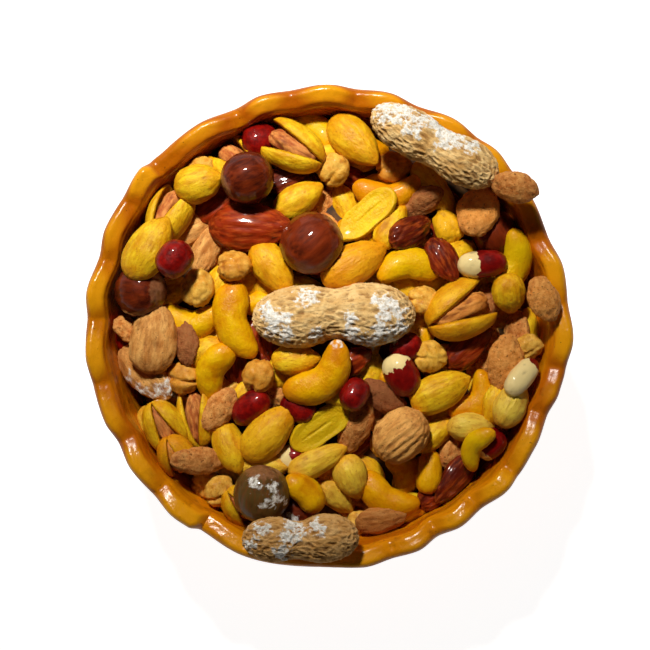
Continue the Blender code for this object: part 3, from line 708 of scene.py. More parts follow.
# %% A unit form
def unit_form(outline, shape=None, rings=28, sides=40):
    """The points and faces of a closed unit form."""
    s = np.concatenate([[-1.0], np.repeat(-np.cos(np.pi * np.arange(1, rings) / rings), sides), [1.0]])
    turn = np.concatenate([[0.0], np.tile(2 * np.pi * np.arange(sides) / sides, rings - 1), [0.0]])
    half = outline(s)
    half[0] = half[-1] = 0.0
    points = np.column_stack([s, half * np.cos(turn), half * np.sin(turn)])
    if shape:
        points = shape(points, s, turn, half)
    faces = []
    last = len(s) - 1
    start = 1 + (rings - 2) * sides
    for side in range(sides):
        after = (side + 1) % sides
        faces.append((0, 1 + after, 1 + side))
        faces.append((last, start + side, start + after))
        for ring in range(rings - 2):
            low, high = 1 + ring * sides, 1 + (ring + 1) * sides
            faces.append((low + side, low + after, high + after, high + side))
    return points, faces

# %% The outlines
def oval(s):
    return np.sqrt(np.maximum(0, 1 - s * s))


def blunt(s):
    return np.maximum(0, 1 - np.abs(s) ** 2.7) ** (1 / 2.1)


def ball(s):
    return np.maximum(0, 1 - np.abs(s) ** 2.15) ** (1 / 2.05)


def drop(s):
    return np.maximum(0, 1 - s * s) ** 0.55 * (1 - 0.20 * s - 0.10 * s * s) * 1.04


def lumpy(s):
    return oval(s) * (1 - 0.08 * s + 0.05 * np.sin(4.2 * s + 0.6))


def seed_outline(s):
    return oval(s) * (1 - 0.14 * s)


def hill(value, at, width):
    """1 where the value is at a place, fading to 0 on both sides of it."""
    return np.exp(-((value - at) / width) ** 2)


def ramp(value, start, length):
    """0 up to the start, then rising to 1 over the length."""
    return np.clip((value - start) / length, 0, 1)


def groove(angle, at, width):
    """1 in a groove at an angle round the form, fading to 0 beside it."""
    return hill((angle - at + np.pi) % (2 * np.pi) - np.pi, 0, width)


# %% [markdown]
# The shape functions hold what makes each kind itself: the seam of a pistachio, the bend of a cashew, the
# deep crease and beak of a chickpea, the flat face of a split peanut with its groove. They work on whole
# arrays of points, which is fast and keeps each rule to a line or two.

# %% The shape functions
def seamed(at):
    """A pistachio's shell: a seam that splits it lengthwise, and a small point at its free end."""
    def shape(points, s, turn, half):
        seam = groove(turn, at, 0.06) + groove(turn, at + np.pi, 0.06)
        lip = groove(turn, at, 0.20) + groove(turn, at + np.pi, 0.20)
        ribs = 0.005 * np.cos(9 * turn + 1.5 * np.sin(2 * s))
        swell = 1 - 0.13 * seam * ramp(s, -0.5, 0.4) + 0.05 * lip + ribs
        points[:, 1:] *= swell[:, None]
        points[:, 0] += 0.09 * ramp(s, 0.86, 0.14) ** 2
        return points
    return shape

# %% A cashew's bend
CASHEW_RATIO = 2.1


def bent(bend):
    """A cashew: rings set square to a curved middle line, thicker at its start."""
    def shape(points, s, turn, half):
        middle = bend * CASHEW_RATIO * (s * s - 0.45)
        slope = 2 * bend * CASHEW_RATIO * s
        length = np.hypot(CASHEW_RATIO / 2, slope)
        out = points[:, 1] / 2 * (1 - 0.10 * s)
        x = s * CASHEW_RATIO / 2 * 0.94 - out * slope / length
        y = middle + out * CASHEW_RATIO / 2 / length
        dent = 1 - 0.12 * hill(s, 0, 0.35) * (np.cos(turn) > 0) * np.cos(turn) ** 2
        z = points[:, 2] * (1 - 0.08 * s)
        return np.column_stack([x / (CASHEW_RATIO / 2), y * 2 * dent, z * dent])
    return shape

# %% Chickpeas, ribs and halves
def chick(crease, beak, lobes=0.0, crown=0.0):
    """A chickpea: a beak at one end, a crease round it, for some two clear lobes or a wrinkled crown."""
    def shape(points, s, turn, half):
        ring = hill(points[:, 1] + 0.1 * points[:, 0], 0, 0.11)
        side = np.clip(0.55 - s, 0, 1) if lobes == 0 else 1.0
        around = np.arctan2(points[:, 1], points[:, 0])
        around = around + 0.45 * np.sin(2 * around + 1.1)
        top = ramp(points[:, 2], 0.25, 0.6)
        factor = 1 - crease * ring * side
        factor += 0.05 * np.sin(3 * turn + 1.0) * half
        factor -= crown * top * (0.4 + 0.6 * np.abs(np.sin(2.5 * around + 0.8)) ** 0.7)
        points = points * factor[:, None]
        nose = hill(turn, np.pi / 2, 0.9) * hill(s, 0.75, 0.3)
        points[:, 0] += beak * nose
        points[:, 2] += 0.6 * beak * nose
        return points
    return shape


def ribbed(count, depth):
    """Ribs that run from tip to tip."""
    def shape(points, s, turn, half):
        wander = 0.5 * np.sin(3.1 * s + 2 * np.sin(turn))
        ribs = 1 - depth * np.abs(np.sin(count / 2 * turn + wander)) ** 0.6 * oval(s)
        points[:, 1:] *= ribs[:, None]
        return points
    return shape


def upright(shape):
    """The same form standing on its end, so that one looks down on its tip."""
    def turned_up(points, s, turn, half):
        points = shape(points, s, turn, half)
        return np.column_stack([points[:, 1], points[:, 2], points[:, 0]])
    return turned_up


def halved(nib):
    """Half a peanut: round below, a flat face on top with a rim and a groove, and a nib at one end."""
    def shape(points, s, turn, half):
        x, y, z = points[:, 0].copy(), points[:, 1], points[:, 2]
        waist = 1 - 0.10 * hill(s, 0, 0.4)
        from_edge = 1 - np.sqrt((y / 0.97) ** 2 + x ** 2)
        dish = 0.12 * ramp(from_edge, 0, 0.30) ** 1.5
        slot = 0.16 * hill(y, 0, 0.07) * np.exp(-((x + 0.1 * nib) / 0.45) ** 4)
        face = 0.40 - dish + 0.08 * ramp(from_edge, 0.30, 0.5) - slot
        points[:, 2] = np.where(z > 0, np.minimum(z, face), z)
        points[:, 1] = y * waist
        points[:, 0] = x + nib * 0.14 * ramp(nib * x, 0.84, 0.16) ** 2
        return points
    return shape


# %% [markdown]
# An open pistachio is two thin half shells that meet at one end, with the kernel between. Each half is a
# ring form too: its ring runs along the outer arc and comes back along the inner one, so that one closed
# skin makes a wall with a real edge. Both halves swing out about the hinge.

# %% The open shell and its kernel
SHELL_RATIO = 1.5
SHELL_WALL = 0.13
SHELL_REACH = 0.78
SHELL_SWING = math.radians(13)


def half_shell(side):
    """One half of an open shell, for the side -1 or 1."""
    def shape(points, s, turn, half):
        outer = turn < np.pi
        angle = np.where(outer, turn - np.pi / 2, 3 * np.pi / 2 - turn)
        wall = np.where(outer, 0.0, SHELL_WALL)
        radius = np.maximum(half - wall, 0.4 * half)
        y = SHELL_REACH / 2 * radius * np.cos(angle)
        z = 1.05 * radius * np.sin(angle)
        x = s * (1 - 0.06 * (wall > 0)) * SHELL_RATIO / 2
        from_hinge = x + SHELL_RATIO / 2
        swung_x = from_hinge * math.cos(SHELL_SWING) - y * math.sin(SHELL_SWING) - SHELL_RATIO / 2
        swung_y = from_hinge * math.sin(SHELL_SWING) + y * math.cos(SHELL_SWING)
        return np.column_stack([swung_x / (SHELL_RATIO / 2), side * swung_y * 2, z])
    return shape


def open_shell():
    """Both halves of an open shell in one form."""
    first, faces = unit_form(seed_outline, half_shell(1), 24, 36)
    second, _ = unit_form(seed_outline, half_shell(-1), 24, 36)
    mirrored = [tuple(reversed([i + len(first) for i in face])) for face in faces]
    return np.vstack([first, second]), faces + mirrored


def kernel_shape(points, s, turn, half):
    """The kernel in an open shell: narrower than the shell, ridged lengthwise."""
    points = ribbed(9, 0.10)(points, s, turn, half)
    return points * np.array([0.84, 0.58, 0.98])


# %% [markdown]
# ## Nuts by Geometry Nodes
#
# Each kind of nut is one Geometry Nodes tree run on a mesh of points, one for each nut. The points carry
# the nut's turn, size, form, seed and tone. The tree puts a form on each point, makes the copies real,
# and raises a relief on them: soft lumps, wrinkles that can run lengthwise, a net of veins or creases,
# and a fine grain. The height of the relief is kept as an attribute, so that the skins can paint shade into
# the creases.

# %% Reading and storing attributes in a tree
def named(make, name, kind="FLOAT"):
    node = make.add("GeometryNodeInputNamedAttribute", {"Name": name}, data_type=kind)
    return node.outputs["Attribute"]


def stored(make, geometry, name, value, kind="FLOAT"):
    feeds = {"Geometry": geometry, "Name": name, "Value": value}
    node = make.add("GeometryNodeStoreNamedAttribute", feeds, data_type=kind, domain="POINT")
    return node.outputs["Geometry"]


# %% The relief's parts
RELIEF_INPUTS = [
    "Lump Height", "Lump Size", "Wrinkle Height", "Wrinkle Size", "Wrinkle Stretch", "Net Height",
    "Net Size", "Net Stretch", "Grain Height", "Grain Size", "Salt Height"]
NET_SHIFTS = (13.7, 7.3, 3.1)


def carved_height(make, given, local, seed):
    """The height of the relief in millimetres: lumps, wrinkles, a net and a grain."""
    def sized(place, size):
        return make.times(place, make.math("DIVIDE", 1.0, given[size]))

    def drawn(place, stretch):
        """The place squeezed lengthwise, so that a pattern on it is drawn out along the nut."""
        scale = make.add("ShaderNodeCombineXYZ", {"Y": 1.0, "Z": 1.0})
        make.feed(scale.inputs["X"], make.math("DIVIDE", 1.0, given[stretch]))
        return make.vector("MULTIPLY", place, scale.outputs[0])

    lumps = make.noise(sized(local, "Lump Size"), seed, 1.0)
    total = make.swing(lumps, given["Lump Height"])
    wrinkles = make.noise(sized(drawn(local, "Wrinkle Stretch"), "Wrinkle Size"), seed, 1.0, 3.0, 0.55)
    total = make.plus(total, make.swing(make.span(wrinkles, 0.3, 0.7), given["Wrinkle Height"]))

    shift = make.add("ShaderNodeCombineXYZ")
    for axis, step in zip("XYZ", NET_SHIFTS):
        make.feed(shift.inputs[axis], make.mul(seed, step))
    wobble = make.add("ShaderNodeTexNoise", {"Vector": local, "Scale": 0.35, "Detail": 1.0})
    wobbled = make.vector("ADD", local, make.times(wobble.outputs["Color"], 1.6))
    shifted = make.vector("ADD", drawn(wobbled, "Net Stretch"), shift.outputs[0])
    veins = make.span(make.cells(sized(shifted, "Net Size")), 0.02, 0.22, 1.0, 0.0)
    total = make.plus(total, make.mul(veins, given["Net Height"]))

    grain = make.noise(sized(local, "Grain Size"), seed, 1.0, 1.0)
    return make.plus(total, make.swing(grain, given["Grain Height"]))


# %% The salt's cover
SALT_REACH = 4.3
SALT_DRIFT = 9.0


def salt_cover(make, given, local, normal):
    """How much salt lies on each point: near a spot as seen from above, and only where it faces up."""
    spots = make.add("GeometryNodeObjectInfo", {"Object": given["Salt Spots"]})
    drift = make.add("ShaderNodeTexNoise", {"Vector": local, "Scale": 0.45, "Detail": 4.0, "Roughness": 0.65})
    drift = make.times(make.vector("SUBTRACT", drift.outputs["Color"], (0.5, 0.5, 0.5)), SALT_DRIFT * MM)
    drifted = make.vector("ADD", make.add("GeometryNodeInputPosition").outputs[0], drift)
    near = make.add("GeometryNodeProximity", {
        "Geometry": spots.outputs["Geometry"],
        "Sample Position": make.vector("MULTIPLY", drifted, (1.0, 1.0, 0.0))}, target_element="POINTS")
    reach = make.span(near.outputs["Distance"], 0.0, SALT_REACH * MM, 1.0, 0.0)
    salt = make.plus(reach, make.swing(make.noise(local, 3.0, 3.0, 5.0, 0.7), 1.5))
    facing = make.span(make.part(normal, "Z"), -0.1, 0.35)
    return make.mul(make.mul(make.span(salt, 0.2, 1.0), facing), near.outputs["Is Valid"])


# %% The tree that lays and carves
def nut_tree():
    """Forms on points, made real, carved and given their material."""
    takes = {"Geometry": "Geometry", "Forms": "Collection", "Skin": "Material", "Salt Spots": "Object"}
    takes.update({name: "Float" for name in RELIEF_INPUTS})
    tree, make, given, out = new_group(
        "GeometryNodeTree", "Lay and carve nuts", takes, {"Geometry": "Geometry"})
    tree.is_modifier = True
    forms = make.add("GeometryNodeCollectionInfo", {
        "Collection": given["Forms"], "Separate Children": True, "Reset Children": True})
    turn = make.add("FunctionNodeEulerToRotation", {"Euler": named(make, "turn", "FLOAT_VECTOR")})
    copies = make.add("GeometryNodeInstanceOnPoints", {
        "Points": given["Geometry"], "Instance": forms.outputs["Instances"], "Pick Instance": True,
        "Instance Index": named(make, "form", "INT"), "Rotation": turn.outputs["Rotation"],
        "Scale": named(make, "size", "FLOAT_VECTOR")})
    real = make.add("GeometryNodeRealizeInstances", {"Geometry": copies.outputs["Instances"]})

    place = make.vector("MULTIPLY", named(make, "rest", "FLOAT_VECTOR"), named(make, "size", "FLOAT_VECTOR"))
    place = make.times(place, 1 / MM)
    geometry = stored(make, real.outputs["Geometry"], "local", place, "FLOAT_VECTOR")
    local = named(make, "local", "FLOAT_VECTOR")
    normal = make.add("GeometryNodeInputNormal").outputs["Normal"]
    geometry = stored(make, geometry, "relief", carved_height(make, given, local, named(make, "seed")))
    geometry = stored(make, geometry, "salt", salt_cover(make, given, local, normal))

    crumbs = make.noise(local, 8.0, 0.8)
    crust = make.mul(named(make, "salt"), make.mul(crumbs, given["Salt Height"]))
    offset = make.mul(make.plus(named(make, "relief"), crust), MM)
    moved = make.add("GeometryNodeSetPosition", {"Geometry": geometry, "Offset": make.times(normal, offset)})
    smooth = make.add("GeometryNodeSetShadeSmooth", {"Geometry": moved.outputs["Geometry"]})
    skinned = make.add("GeometryNodeSetMaterial", {
        "Geometry": smooth.outputs["Geometry"], "Material": given["Skin"]})
    make.feed(out.inputs["Geometry"], skinned.outputs["Geometry"])
    return tree


lay_and_carve = nut_tree()
print("tree:", lay_and_carve.name, "with", len(lay_and_carve.nodes), "nodes")

# %% [markdown]
# White salt dust lies where it was brushed on: on the three peanuts, on one almond and on a hazelnut.
# The tree measures how near each point is to a salt spot, seen from above, and breaks the edge up with
# noise. The spots are a mesh of loose points that is removed once every nut is made.

# %% The salt spots
SALT_SPOTS = [
    (-16.5, 4.5), (-15, 1.5), (-16, -1.5), (-12, -2), (-12, 2.5), (-7, 8.5), (-4.5, 8), (-3, -2.5),
    (2.5, -4), (6.5, 2.5), (7, -1), (7.5, -3.5), (14.5, 7.5), (17.5, 7), (19.5, 4), (16.5, 3.5), (20.5, 0),
    (15, -1), (18, -3), (12.5, -4),
    (15, 61.5), (18, 60), (21, 60.5), (19, 57), (23, 57.5), (26, 57.5), (29, 56.5), (23, 54), (31, 54.5),
    (33.5, 53), (36, 51.5), (32, 50.5), (39.5, 49.5), (15.5, 58),
    (-18.5, -55.5), (-11.5, -57.5), (-10, -54), (-8, -56.5), (-21, -60), (-13, -62.5), (-3, -55),
    (-45.8, -16.5), (-44.8, -19), (-47, -18.5), (-57, -14.8), (-53.5, -18.5), (-49.5, -18),
    (-15.5, -44), (-16.5, -49), (-20, -43.5), (-13.5, -47.5),
]
salt_spots = mesh_object("salt_spots", [(x, y, 0.0) for x, y in SALT_SPOTS], [])
bpy.context.scene.collection.objects.unlink(salt_spots)
print("salt spots:", len(SALT_SPOTS))

# %% Run the tree for one kind
def run_tree(name, points, attributes, forms, skin, relief):
    """Runs the tree on points in millimetres and returns its result as one plain mesh object."""
    source = mesh_object(name + "_points", points, [], attributes=attributes)
    gathered = bpy.data.collections.new(name + "_forms")
    for number, (places, faces) in enumerate(forms):
        form = mesh_object(f"form_{number}", places / MM, faces, attributes={"rest": places})
        bpy.context.scene.collection.objects.unlink(form)
        gathered.objects.link(form)
    modifier = source.modifiers.new("Lay and carve", "NODES")
    modifier.node_group = lay_and_carve
    inputs = {"Forms": gathered, "Skin": skin, "Salt Spots": salt_spots, **relief}
    for item in lay_and_carve.interface.items_tree:
        if item.in_out == "INPUT" and item.name in inputs:
            modifier[item.identifier] = inputs[item.name]
    source.update_tag()
    graph = bpy.context.evaluated_depsgraph_get()
    mesh = bpy.data.meshes.new_from_object(source.evaluated_get(graph))
    for helper in (source, *gathered.objects):
        bpy.data.objects.remove(helper)
    bpy.data.collections.remove(gathered)
    mesh.name = name
    for title in ("turn", "size", "form"):
        if title in mesh.attributes:
            mesh.attributes.remove(mesh.attributes[title])
    piece = bpy.data.objects.new(name, mesh)
    bpy.context.scene.collection.objects.link(piece)
    print(f"{name}: {sum(len(p.vertices) - 2 for p in mesh.polygons)} triangles")
    return piece

# %% What the tree is given
def relief(lump=(0.25, 5.0), wrinkle=(0.0, 1.5, 1.0), net=(0.0, 2.0, 1.0), grain=(0.0, 0.7), salt=0.0):
    """What the tree's relief inputs hold: height and size in millimetres, and the stretch lengthwise."""
    return dict(zip(RELIEF_INPUTS, map(float, (*lump, *wrinkle, *net, *grain, salt))))


def attributes_of(nuts):
    """What the tree reads on each point, from pairs of a row and a place."""
    return {
        "turn": [place.to_euler() for row, place in nuts],
        "size": [[full * MM / 2 for full in sizes_of(row)] for row, place in nuts],
        "seed": [abs(row[1] * 0.37 + row[2] * 0.73) for row, place in nuts],
        "tone": [row[7] if len(row) > 7 else 0.0 for row, place in nuts],
        "form": [row[6] if len(row) > 6 else 0 for row, place in nuts],
    }


heap = []


def make_nuts(name, kind, forms, skin, carving):
    """Adds one piece to the heap, from every laid nut and filler of a kind."""
    nuts = [(row, place) for row, place in laid + under if row[0] == kind]
    points = [place.translation for row, place in nuts]
    heap.append(run_tree(name, points, attributes_of(nuts), forms, skin, carving))


# %% [markdown]
# ## Skins
#
# The nuts share a way of being coloured, so that is one function over three shared node groups. Local
# gives the nut's own coordinates in millimetres with its seed and tone. Mottle mixes two colours in soft
# patches. Salted lays white dust over a colour. Each skin then differs in its colours, its gloss and how
# dark the painted shade in its creases is.

# %% Shared groups
NUT_VALUES = {
    "local": "Vector", "rest": "Vector", "seed": "Float", "tone": "Float", "relief": "Float", "salt": "Float"}


def local_group():
    """The attributes that a nut's mesh carries."""
    tree, make, _, out = new_group("ShaderNodeTree", "Local", {}, NUT_VALUES)
    for name, kind in NUT_VALUES.items():
        read = make.add("ShaderNodeAttribute", attribute_name=name)
        make.feed(out.inputs[name], read.outputs["Vector" if kind == "Vector" else "Fac"])
    return tree


def mottle_group():
    """Two colours in soft patches, with finer mottling inside them."""
    takes = {"Place": "Vector", "Seed": "Float", "Size": "Float", "Dark": "Color", "Light": "Color"}
    tree, make, given, out = new_group("ShaderNodeTree", "Mottle", takes, {"Colour": "Color"})
    place = make.times(given["Place"], make.math("DIVIDE", 1.0, given["Size"]))
    patches = make.span(make.noise(place, given["Seed"], 1.0, 6.0, 0.68), 0.32, 0.68)
    make.feed(out.inputs["Colour"], make.mix(patches, given["Dark"], given["Light"]))
    return tree


def salted_group():
    """White dust over a colour, crumbly at its edges."""
    takes = {"Colour": "Color", "Place": "Vector", "Salt": "Float", "Relief": "Float"}
    tree, make, given, out = new_group(
        "ShaderNodeTree", "Salted", takes, {"Colour": "Color", "Cover": "Float"})
    crumbs = make.noise(given["Place"], 5.0, 0.8, 4.0, 0.75)
    raised = make.span(given["Relief"], -0.4, 0.4, -0.55, 0.25)
    ragged = make.plus(raised, make.swing(crumbs, 1.6))
    cover = make.span(make.plus(given["Salt"], ragged), 0.2, 0.95, 0.0, 0.95)
    cover = make.mul(cover, make.span(given["Salt"], 0.0, 0.15))
    shade = make.mix(make.span(crumbs, 0.35, 0.60), srgb(204, 196, 180), srgb(248, 248, 246))
    make.feed(out.inputs["Colour"], make.mix(cover, given["Colour"], shade))
    make.feed(out.inputs["Cover"], cover)
    return tree


LOCAL, MOTTLE, SALTED = local_group(), mottle_group(), salted_group()
print("groups:", LOCAL.name, MOTTLE.name, SALTED.name)


# %% The skin of a nut
def group(make, tree, feeds=None):
    node = make.add("ShaderNodeGroup", node_tree=tree)
    for name, value in (feeds or {}).items():
        make.feed(node.inputs[name], value)
    return node.outputs


def nut_skin(name, dark, light, low_tone, high_tone, patch=3.0, crease=None, crease_shade_heights=(-0.3, 0.0),
             specks=0.0, speck_size=0.6, speck_colour=(90, 50, 20), rough=(0.5, 0.6), coat=0.0,
             grain=(0.6, 0.15), stretch=1.0, streaks=0.0, streak_colour=(120, 60, 10), end_shade=0.0,
             specular=0.16, coat_rough=0.10, extra=None):
    """A nut's material. The creases get painted shade in the crease colour, darkest to clear between two
    relief heights in millimetres.
    """
    dark, light, low_tone, high_tone = (srgb(*shade) for shade in (dark, light, low_tone, high_tone))
    material, make, shader = new_material(name)
    own = group(make, LOCAL)
    place, seed = own["local"], own["seed"]
    drawn = make.vector("MULTIPLY", place, (1 / stretch, 1.0, 1.0))
    mottled = group(make, MOTTLE, {
        "Place": drawn, "Seed": seed, "Size": patch, "Dark": dark, "Light": light})
    colour = make.mix(make.math("MAXIMUM", own["tone"], 0.0), mottled["Colour"], high_tone)
    down = make.math("MAXIMUM", make.mul(own["tone"], -1.0), 0.0)
    colour = make.mix(down, colour, low_tone)
    # Painted shade: the skin is darkened towards its low tone at both ends.
    if end_shade:
        end_shade_mask = make.span(make.math("ABSOLUTE", make.part(own["rest"], "X")), 0.45, 1.0, 0.0, end_shade)
        colour = make.mix(end_shade_mask, colour, low_tone)
    if streaks:
        long = make.vector("MULTIPLY", place, (0.16, 1.0, 1.0))
        lines = make.span(make.noise(long, seed, 0.9, 3.0, 0.6), 0.45, 0.66)
        colour = make.mix(make.mul(lines, streaks), colour, srgb(*streak_colour))
    if extra:
        colour = extra(make, own, colour)
    if specks:
        spots = make.span(make.noise(place, seed, speck_size, 2.0), 0.60, 0.72)
        colour = make.mix(make.mul(spots, specks), colour, srgb(*speck_colour))
    # Painted shade: the low relief of the creases is darkened to the crease colour.
    if crease:
        crease_shade = make.span(own["relief"], *crease_shade_heights, 0.85, 0.0)
        colour = make.mix(crease_shade, colour, srgb(*crease))
    salted = group(make, SALTED, {
        "Colour": colour, "Place": place, "Salt": own["salt"], "Relief": own["relief"]})
    make.feed(shader.inputs["Base Color"], salted["Colour"])
    worn = make.span(make.noise(place, seed, 2.2, 3.0), 0.35, 0.65, *rough)
    worn = make.math("MAXIMUM", worn, make.mul(salted["Cover"], 0.9))
    make.feed(shader.inputs["Roughness"], worn)
    if coat:
        shader.inputs["Coat Roughness"].default_value = coat_rough
        clear = make.math("SUBTRACT", 1.0, salted["Cover"])
        make.feed(shader.inputs["Coat Weight"], make.mul(clear, coat))
    shader.inputs["Specular IOR Level"].default_value = specular
    size, strength = grain
    height = make.noise(drawn, seed, size, 3.0, 0.6)
    bump = make.add("ShaderNodeBump", {"Height": height, "Strength": strength, "Distance": size * MM})
    make.feed(shader.inputs["Normal"], bump.outputs["Normal"])
    return material


# %% [markdown]
# ### Saffron pistachios
#
# Closed shells, dyed a strong yellow with orange blushes, and painted shade makes both ends a darker orange.
# Low lumps and faint lengthwise wrinkles keep the egg from looking moulded. On the second form the seam is
# turned nearly up.
# The open ones are two pieces: the shells in the same skin, and the brown kernels between them.

# %% Pistachios
SHELL_YELLOW = nut_skin(
    "saffron_shell", (212, 148, 1), (246, 208, 34), (222, 134, 1), (236, 206, 84),
    patch=3.0, crease=(150, 84, 4), crease_shade_heights=(-0.42, -0.06), specks=0.55, speck_size=0.8,
    speck_colour=(172, 98, 4), rough=(0.42, 0.6), grain=(0.7, 0.5), stretch=1.8,
    streaks=0.4, streak_colour=(190, 112, 1), end_shade=0.4, specular=0.25)
pistachio_relief = relief(lump=(0.8, 4.0), wrinkle=(0.2, 1.1, 2.6), grain=(0.1, 0.8))
make_nuts(
    "pistachios", "pistachio",
    [unit_form(seed_outline, seamed(0.25), 34, 48),
     unit_form(seed_outline, seamed(1.05), 34, 60)],
    SHELL_YELLOW, pistachio_relief)

# %% Open pistachios
make_nuts(
    "open_pistachios", "open pistachio", [open_shell()], SHELL_YELLOW,
    relief(lump=(0.3, 5.0), wrinkle=(0.06, 1.5, 3.0), grain=(0.03, 0.7)))
kernel_skin = nut_skin(
    "pistachio_kernel", (166, 76, 34), (232, 158, 82), (226, 150, 54), (196, 112, 70),
    patch=1.6, crease=(112, 46, 22), crease_shade_heights=(-0.28, 0.0), specks=0.3, rough=(0.5, 0.7),
    grain=(0.5, 0.4), stretch=3.0)
make_nuts(
    "pistachio_kernels", "open pistachio", [unit_form(blunt, kernel_shape)], kernel_skin,
    relief(lump=(0.4, 3.0), wrinkle=(0.5, 1.1, 4.0), grain=(0.1, 0.6)))

# %% [markdown]
# ### Cashews
#
# Smooth, fat and bent, with a satin surface from yellow to deep orange gold. Their soft gloss comes from a
# low roughness and a very thin coat. Two bends and a nearly straight form keep them from looking alike.

# %% Cashews
cashew_skin = nut_skin(
    "golden_cashew", (212, 138, 1), (240, 190, 8), (214, 122, 1), (232, 192, 10),
    patch=5.0, crease=(176, 92, 3), crease_shade_heights=(-0.46, -0.08), specks=0.2, speck_colour=(176, 100, 4),
    rough=(0.3, 0.45), coat=0.08, grain=(0.8, 0.4), streaks=0.2, streak_colour=(200, 112, 2),
    end_shade=0.5)
make_nuts(
    "cashews", "cashew",
    [unit_form(blunt, bent(0.33), 34), unit_form(blunt, bent(0.24), 30),
     unit_form(blunt, bent(0.04), 30)],
    cashew_skin,
    relief(lump=(1.0, 5.0), wrinkle=(0.06, 2.0, 2.5), grain=(0.04, 0.7)))

# %% [markdown]
# ### Almonds
#
# Three finishes: whole almonds in their glossy red-brown skin, with wrinkles along them; roasted ones
# with a rough, grainy coating; and almonds still in their tan shells, pitted and ribbed.

# %% Almonds in their skin
skin_almond = nut_skin(
    "almond_skin", (88, 18, 4), (152, 46, 10), (72, 18, 7), (156, 48, 10),
    patch=1.8, crease=(44, 8, 3), crease_shade_heights=(-0.40, 0.08), rough=(0.4, 0.55), coat=0.5,
    grain=(0.5, 0.4), stretch=5.0, streaks=0.4, streak_colour=(206, 96, 34), end_shade=0.3,
    specular=0.10)
make_nuts(
    "almonds_in_skin", "skin almond", [unit_form(drop, ribbed(13, 0.05), 38, 64)],
    skin_almond,
    relief(lump=(0.6, 4.0), wrinkle=(0.45, 1.0, 7.0), grain=(0.04, 0.7)))

# %% Rough almonds
rough_skin = nut_skin(
    "grainy_almond", (196, 112, 44), (244, 178, 98), (140, 80, 48), (236, 156, 66),
    patch=1.4, crease=(104, 46, 12), crease_shade_heights=(-0.7, 0.0), specks=0.8, speck_size=0.7,
    speck_colour=(104, 46, 14), rough=(0.6, 0.85), grain=(0.5, 0.9), end_shade=0.2)
make_nuts(
    "grainy_almonds", "rough almond", [unit_form(lumpy, None, 38, 60)], rough_skin,
    relief(lump=(1.1, 3.2), wrinkle=(0.35, 1.5, 1.6), grain=(0.75, 0.9)))

# %% Almonds in their shells
shell_skin = nut_skin(
    "almond_shell", (198, 126, 56), (244, 186, 106), (168, 98, 42), (236, 176, 92),
    patch=2.2, crease=(130, 70, 24), crease_shade_heights=(-0.40, -0.02), specks=0.7, speck_size=0.5,
    speck_colour=(124, 66, 26), rough=(0.55, 0.75), grain=(0.35, 0.8), stretch=2.0, streaks=0.5,
    streak_colour=(164, 94, 40), end_shade=0.3)
make_nuts(
    "almonds_in_shell", "shell almond",
    [unit_form(seed_outline, ribbed(9, 0.04), 40, 56),
     unit_form(ball, ribbed(20, 0.10), 56, 120)],
    shell_skin,
    relief(lump=(0.8, 4.5), wrinkle=(0.45, 1.2, 4.0), grain=(0.34, 0.7), salt=0.35))

# %% [markdown]
# ### Hazelnuts
#
# Round and glossy, dark red-brown, with fine ribs that run to a pale, rough cap at one end. One form lies
# on its side and one stands on end. The cap is a mask on the X of the form's own unit place, torn by
# noise.

# %% Hazelnuts
CAP_EDGE = (0.74, 0.84)


def cap(make, own, colour):
    """The pale rough cap at the nut's end."""
    along = make.part(own["rest"], "X")
    ragged = make.swing(make.noise(own["local"], own["seed"], 1.5), 0.3)
    mask = make.span(make.plus(along, ragged), *CAP_EDGE, 0.0, 0.75)
    grainy = make.noise(own["local"], own["seed"], 0.7, 3.0)
    return make.mix(mask, colour, make.mix(grainy, srgb(92, 46, 24), srgb(178, 124, 84)))


hazel_skin = nut_skin(
    "hazelnut_shell", (60, 14, 4), (118, 40, 10), (92, 68, 30), (130, 46, 14),
    patch=2.4, crease=(30, 6, 3), crease_shade_heights=(-0.25, 0.0), rough=(0.45, 0.6), coat=0.6,
    grain=(0.5, 0.3), stretch=4.0, streaks=0.3, streak_colour=(140, 56, 18), specular=0.08,
    coat_rough=0.07, extra=cap)
make_nuts(
    "hazelnuts", "hazelnut",
    [unit_form(ball, ribbed(14, 0.025), 40, 64),
     unit_form(ball, upright(ribbed(14, 0.03)), 40, 64)],
    hazel_skin,
    relief(lump=(0.5, 5.0), wrinkle=(0.22, 1.2, 3.5), grain=(0.05, 0.7)))

# %% [markdown]
# ### Chickpeas
#
# Small, golden tan and hard roasted: knobbly balls with a beak, a deep crease, and on some two clear lobes
# or a wrinkled crown. The tree's net is used upside down here, as low creases between swollen cells.

# %% Chickpeas
chick_skin = nut_skin(
    "roasted_chickpea", (206, 136, 34), (244, 196, 88), (200, 118, 28), (236, 176, 20),
    patch=2.0, crease=(140, 70, 10), crease_shade_heights=(-0.7, -0.10), specks=0.3, rough=(0.42, 0.6),
    coat=0.12, grain=(0.5, 0.5))
make_nuts(
    "chickpeas", "chickpea",
    [unit_form(ball, chick(0.14, 0.20, crown=0.15), 36, 52),
     unit_form(ball, chick(0.18, 0.14), 36, 52),
     unit_form(seed_outline, chick(0.05, 0.2), 36, 52),
     unit_form(ball, chick(0.30, 0.05, lobes=1.0), 36, 52)],
    chick_skin,
    relief(lump=(1.5, 3.0), net=(-0.22, 3.3, 1.0), grain=(0.12, 0.8)))

# %% [markdown]
# ### Red peanuts and peanut halves
#
# Shelled peanuts in a tight, shiny red skin. Where it flaked off, the cream kernel shows: the nut's tone
# says how far along it is bare, and noise tears the edge. The yellow halves are split kernels that lie
# with their flat face up.

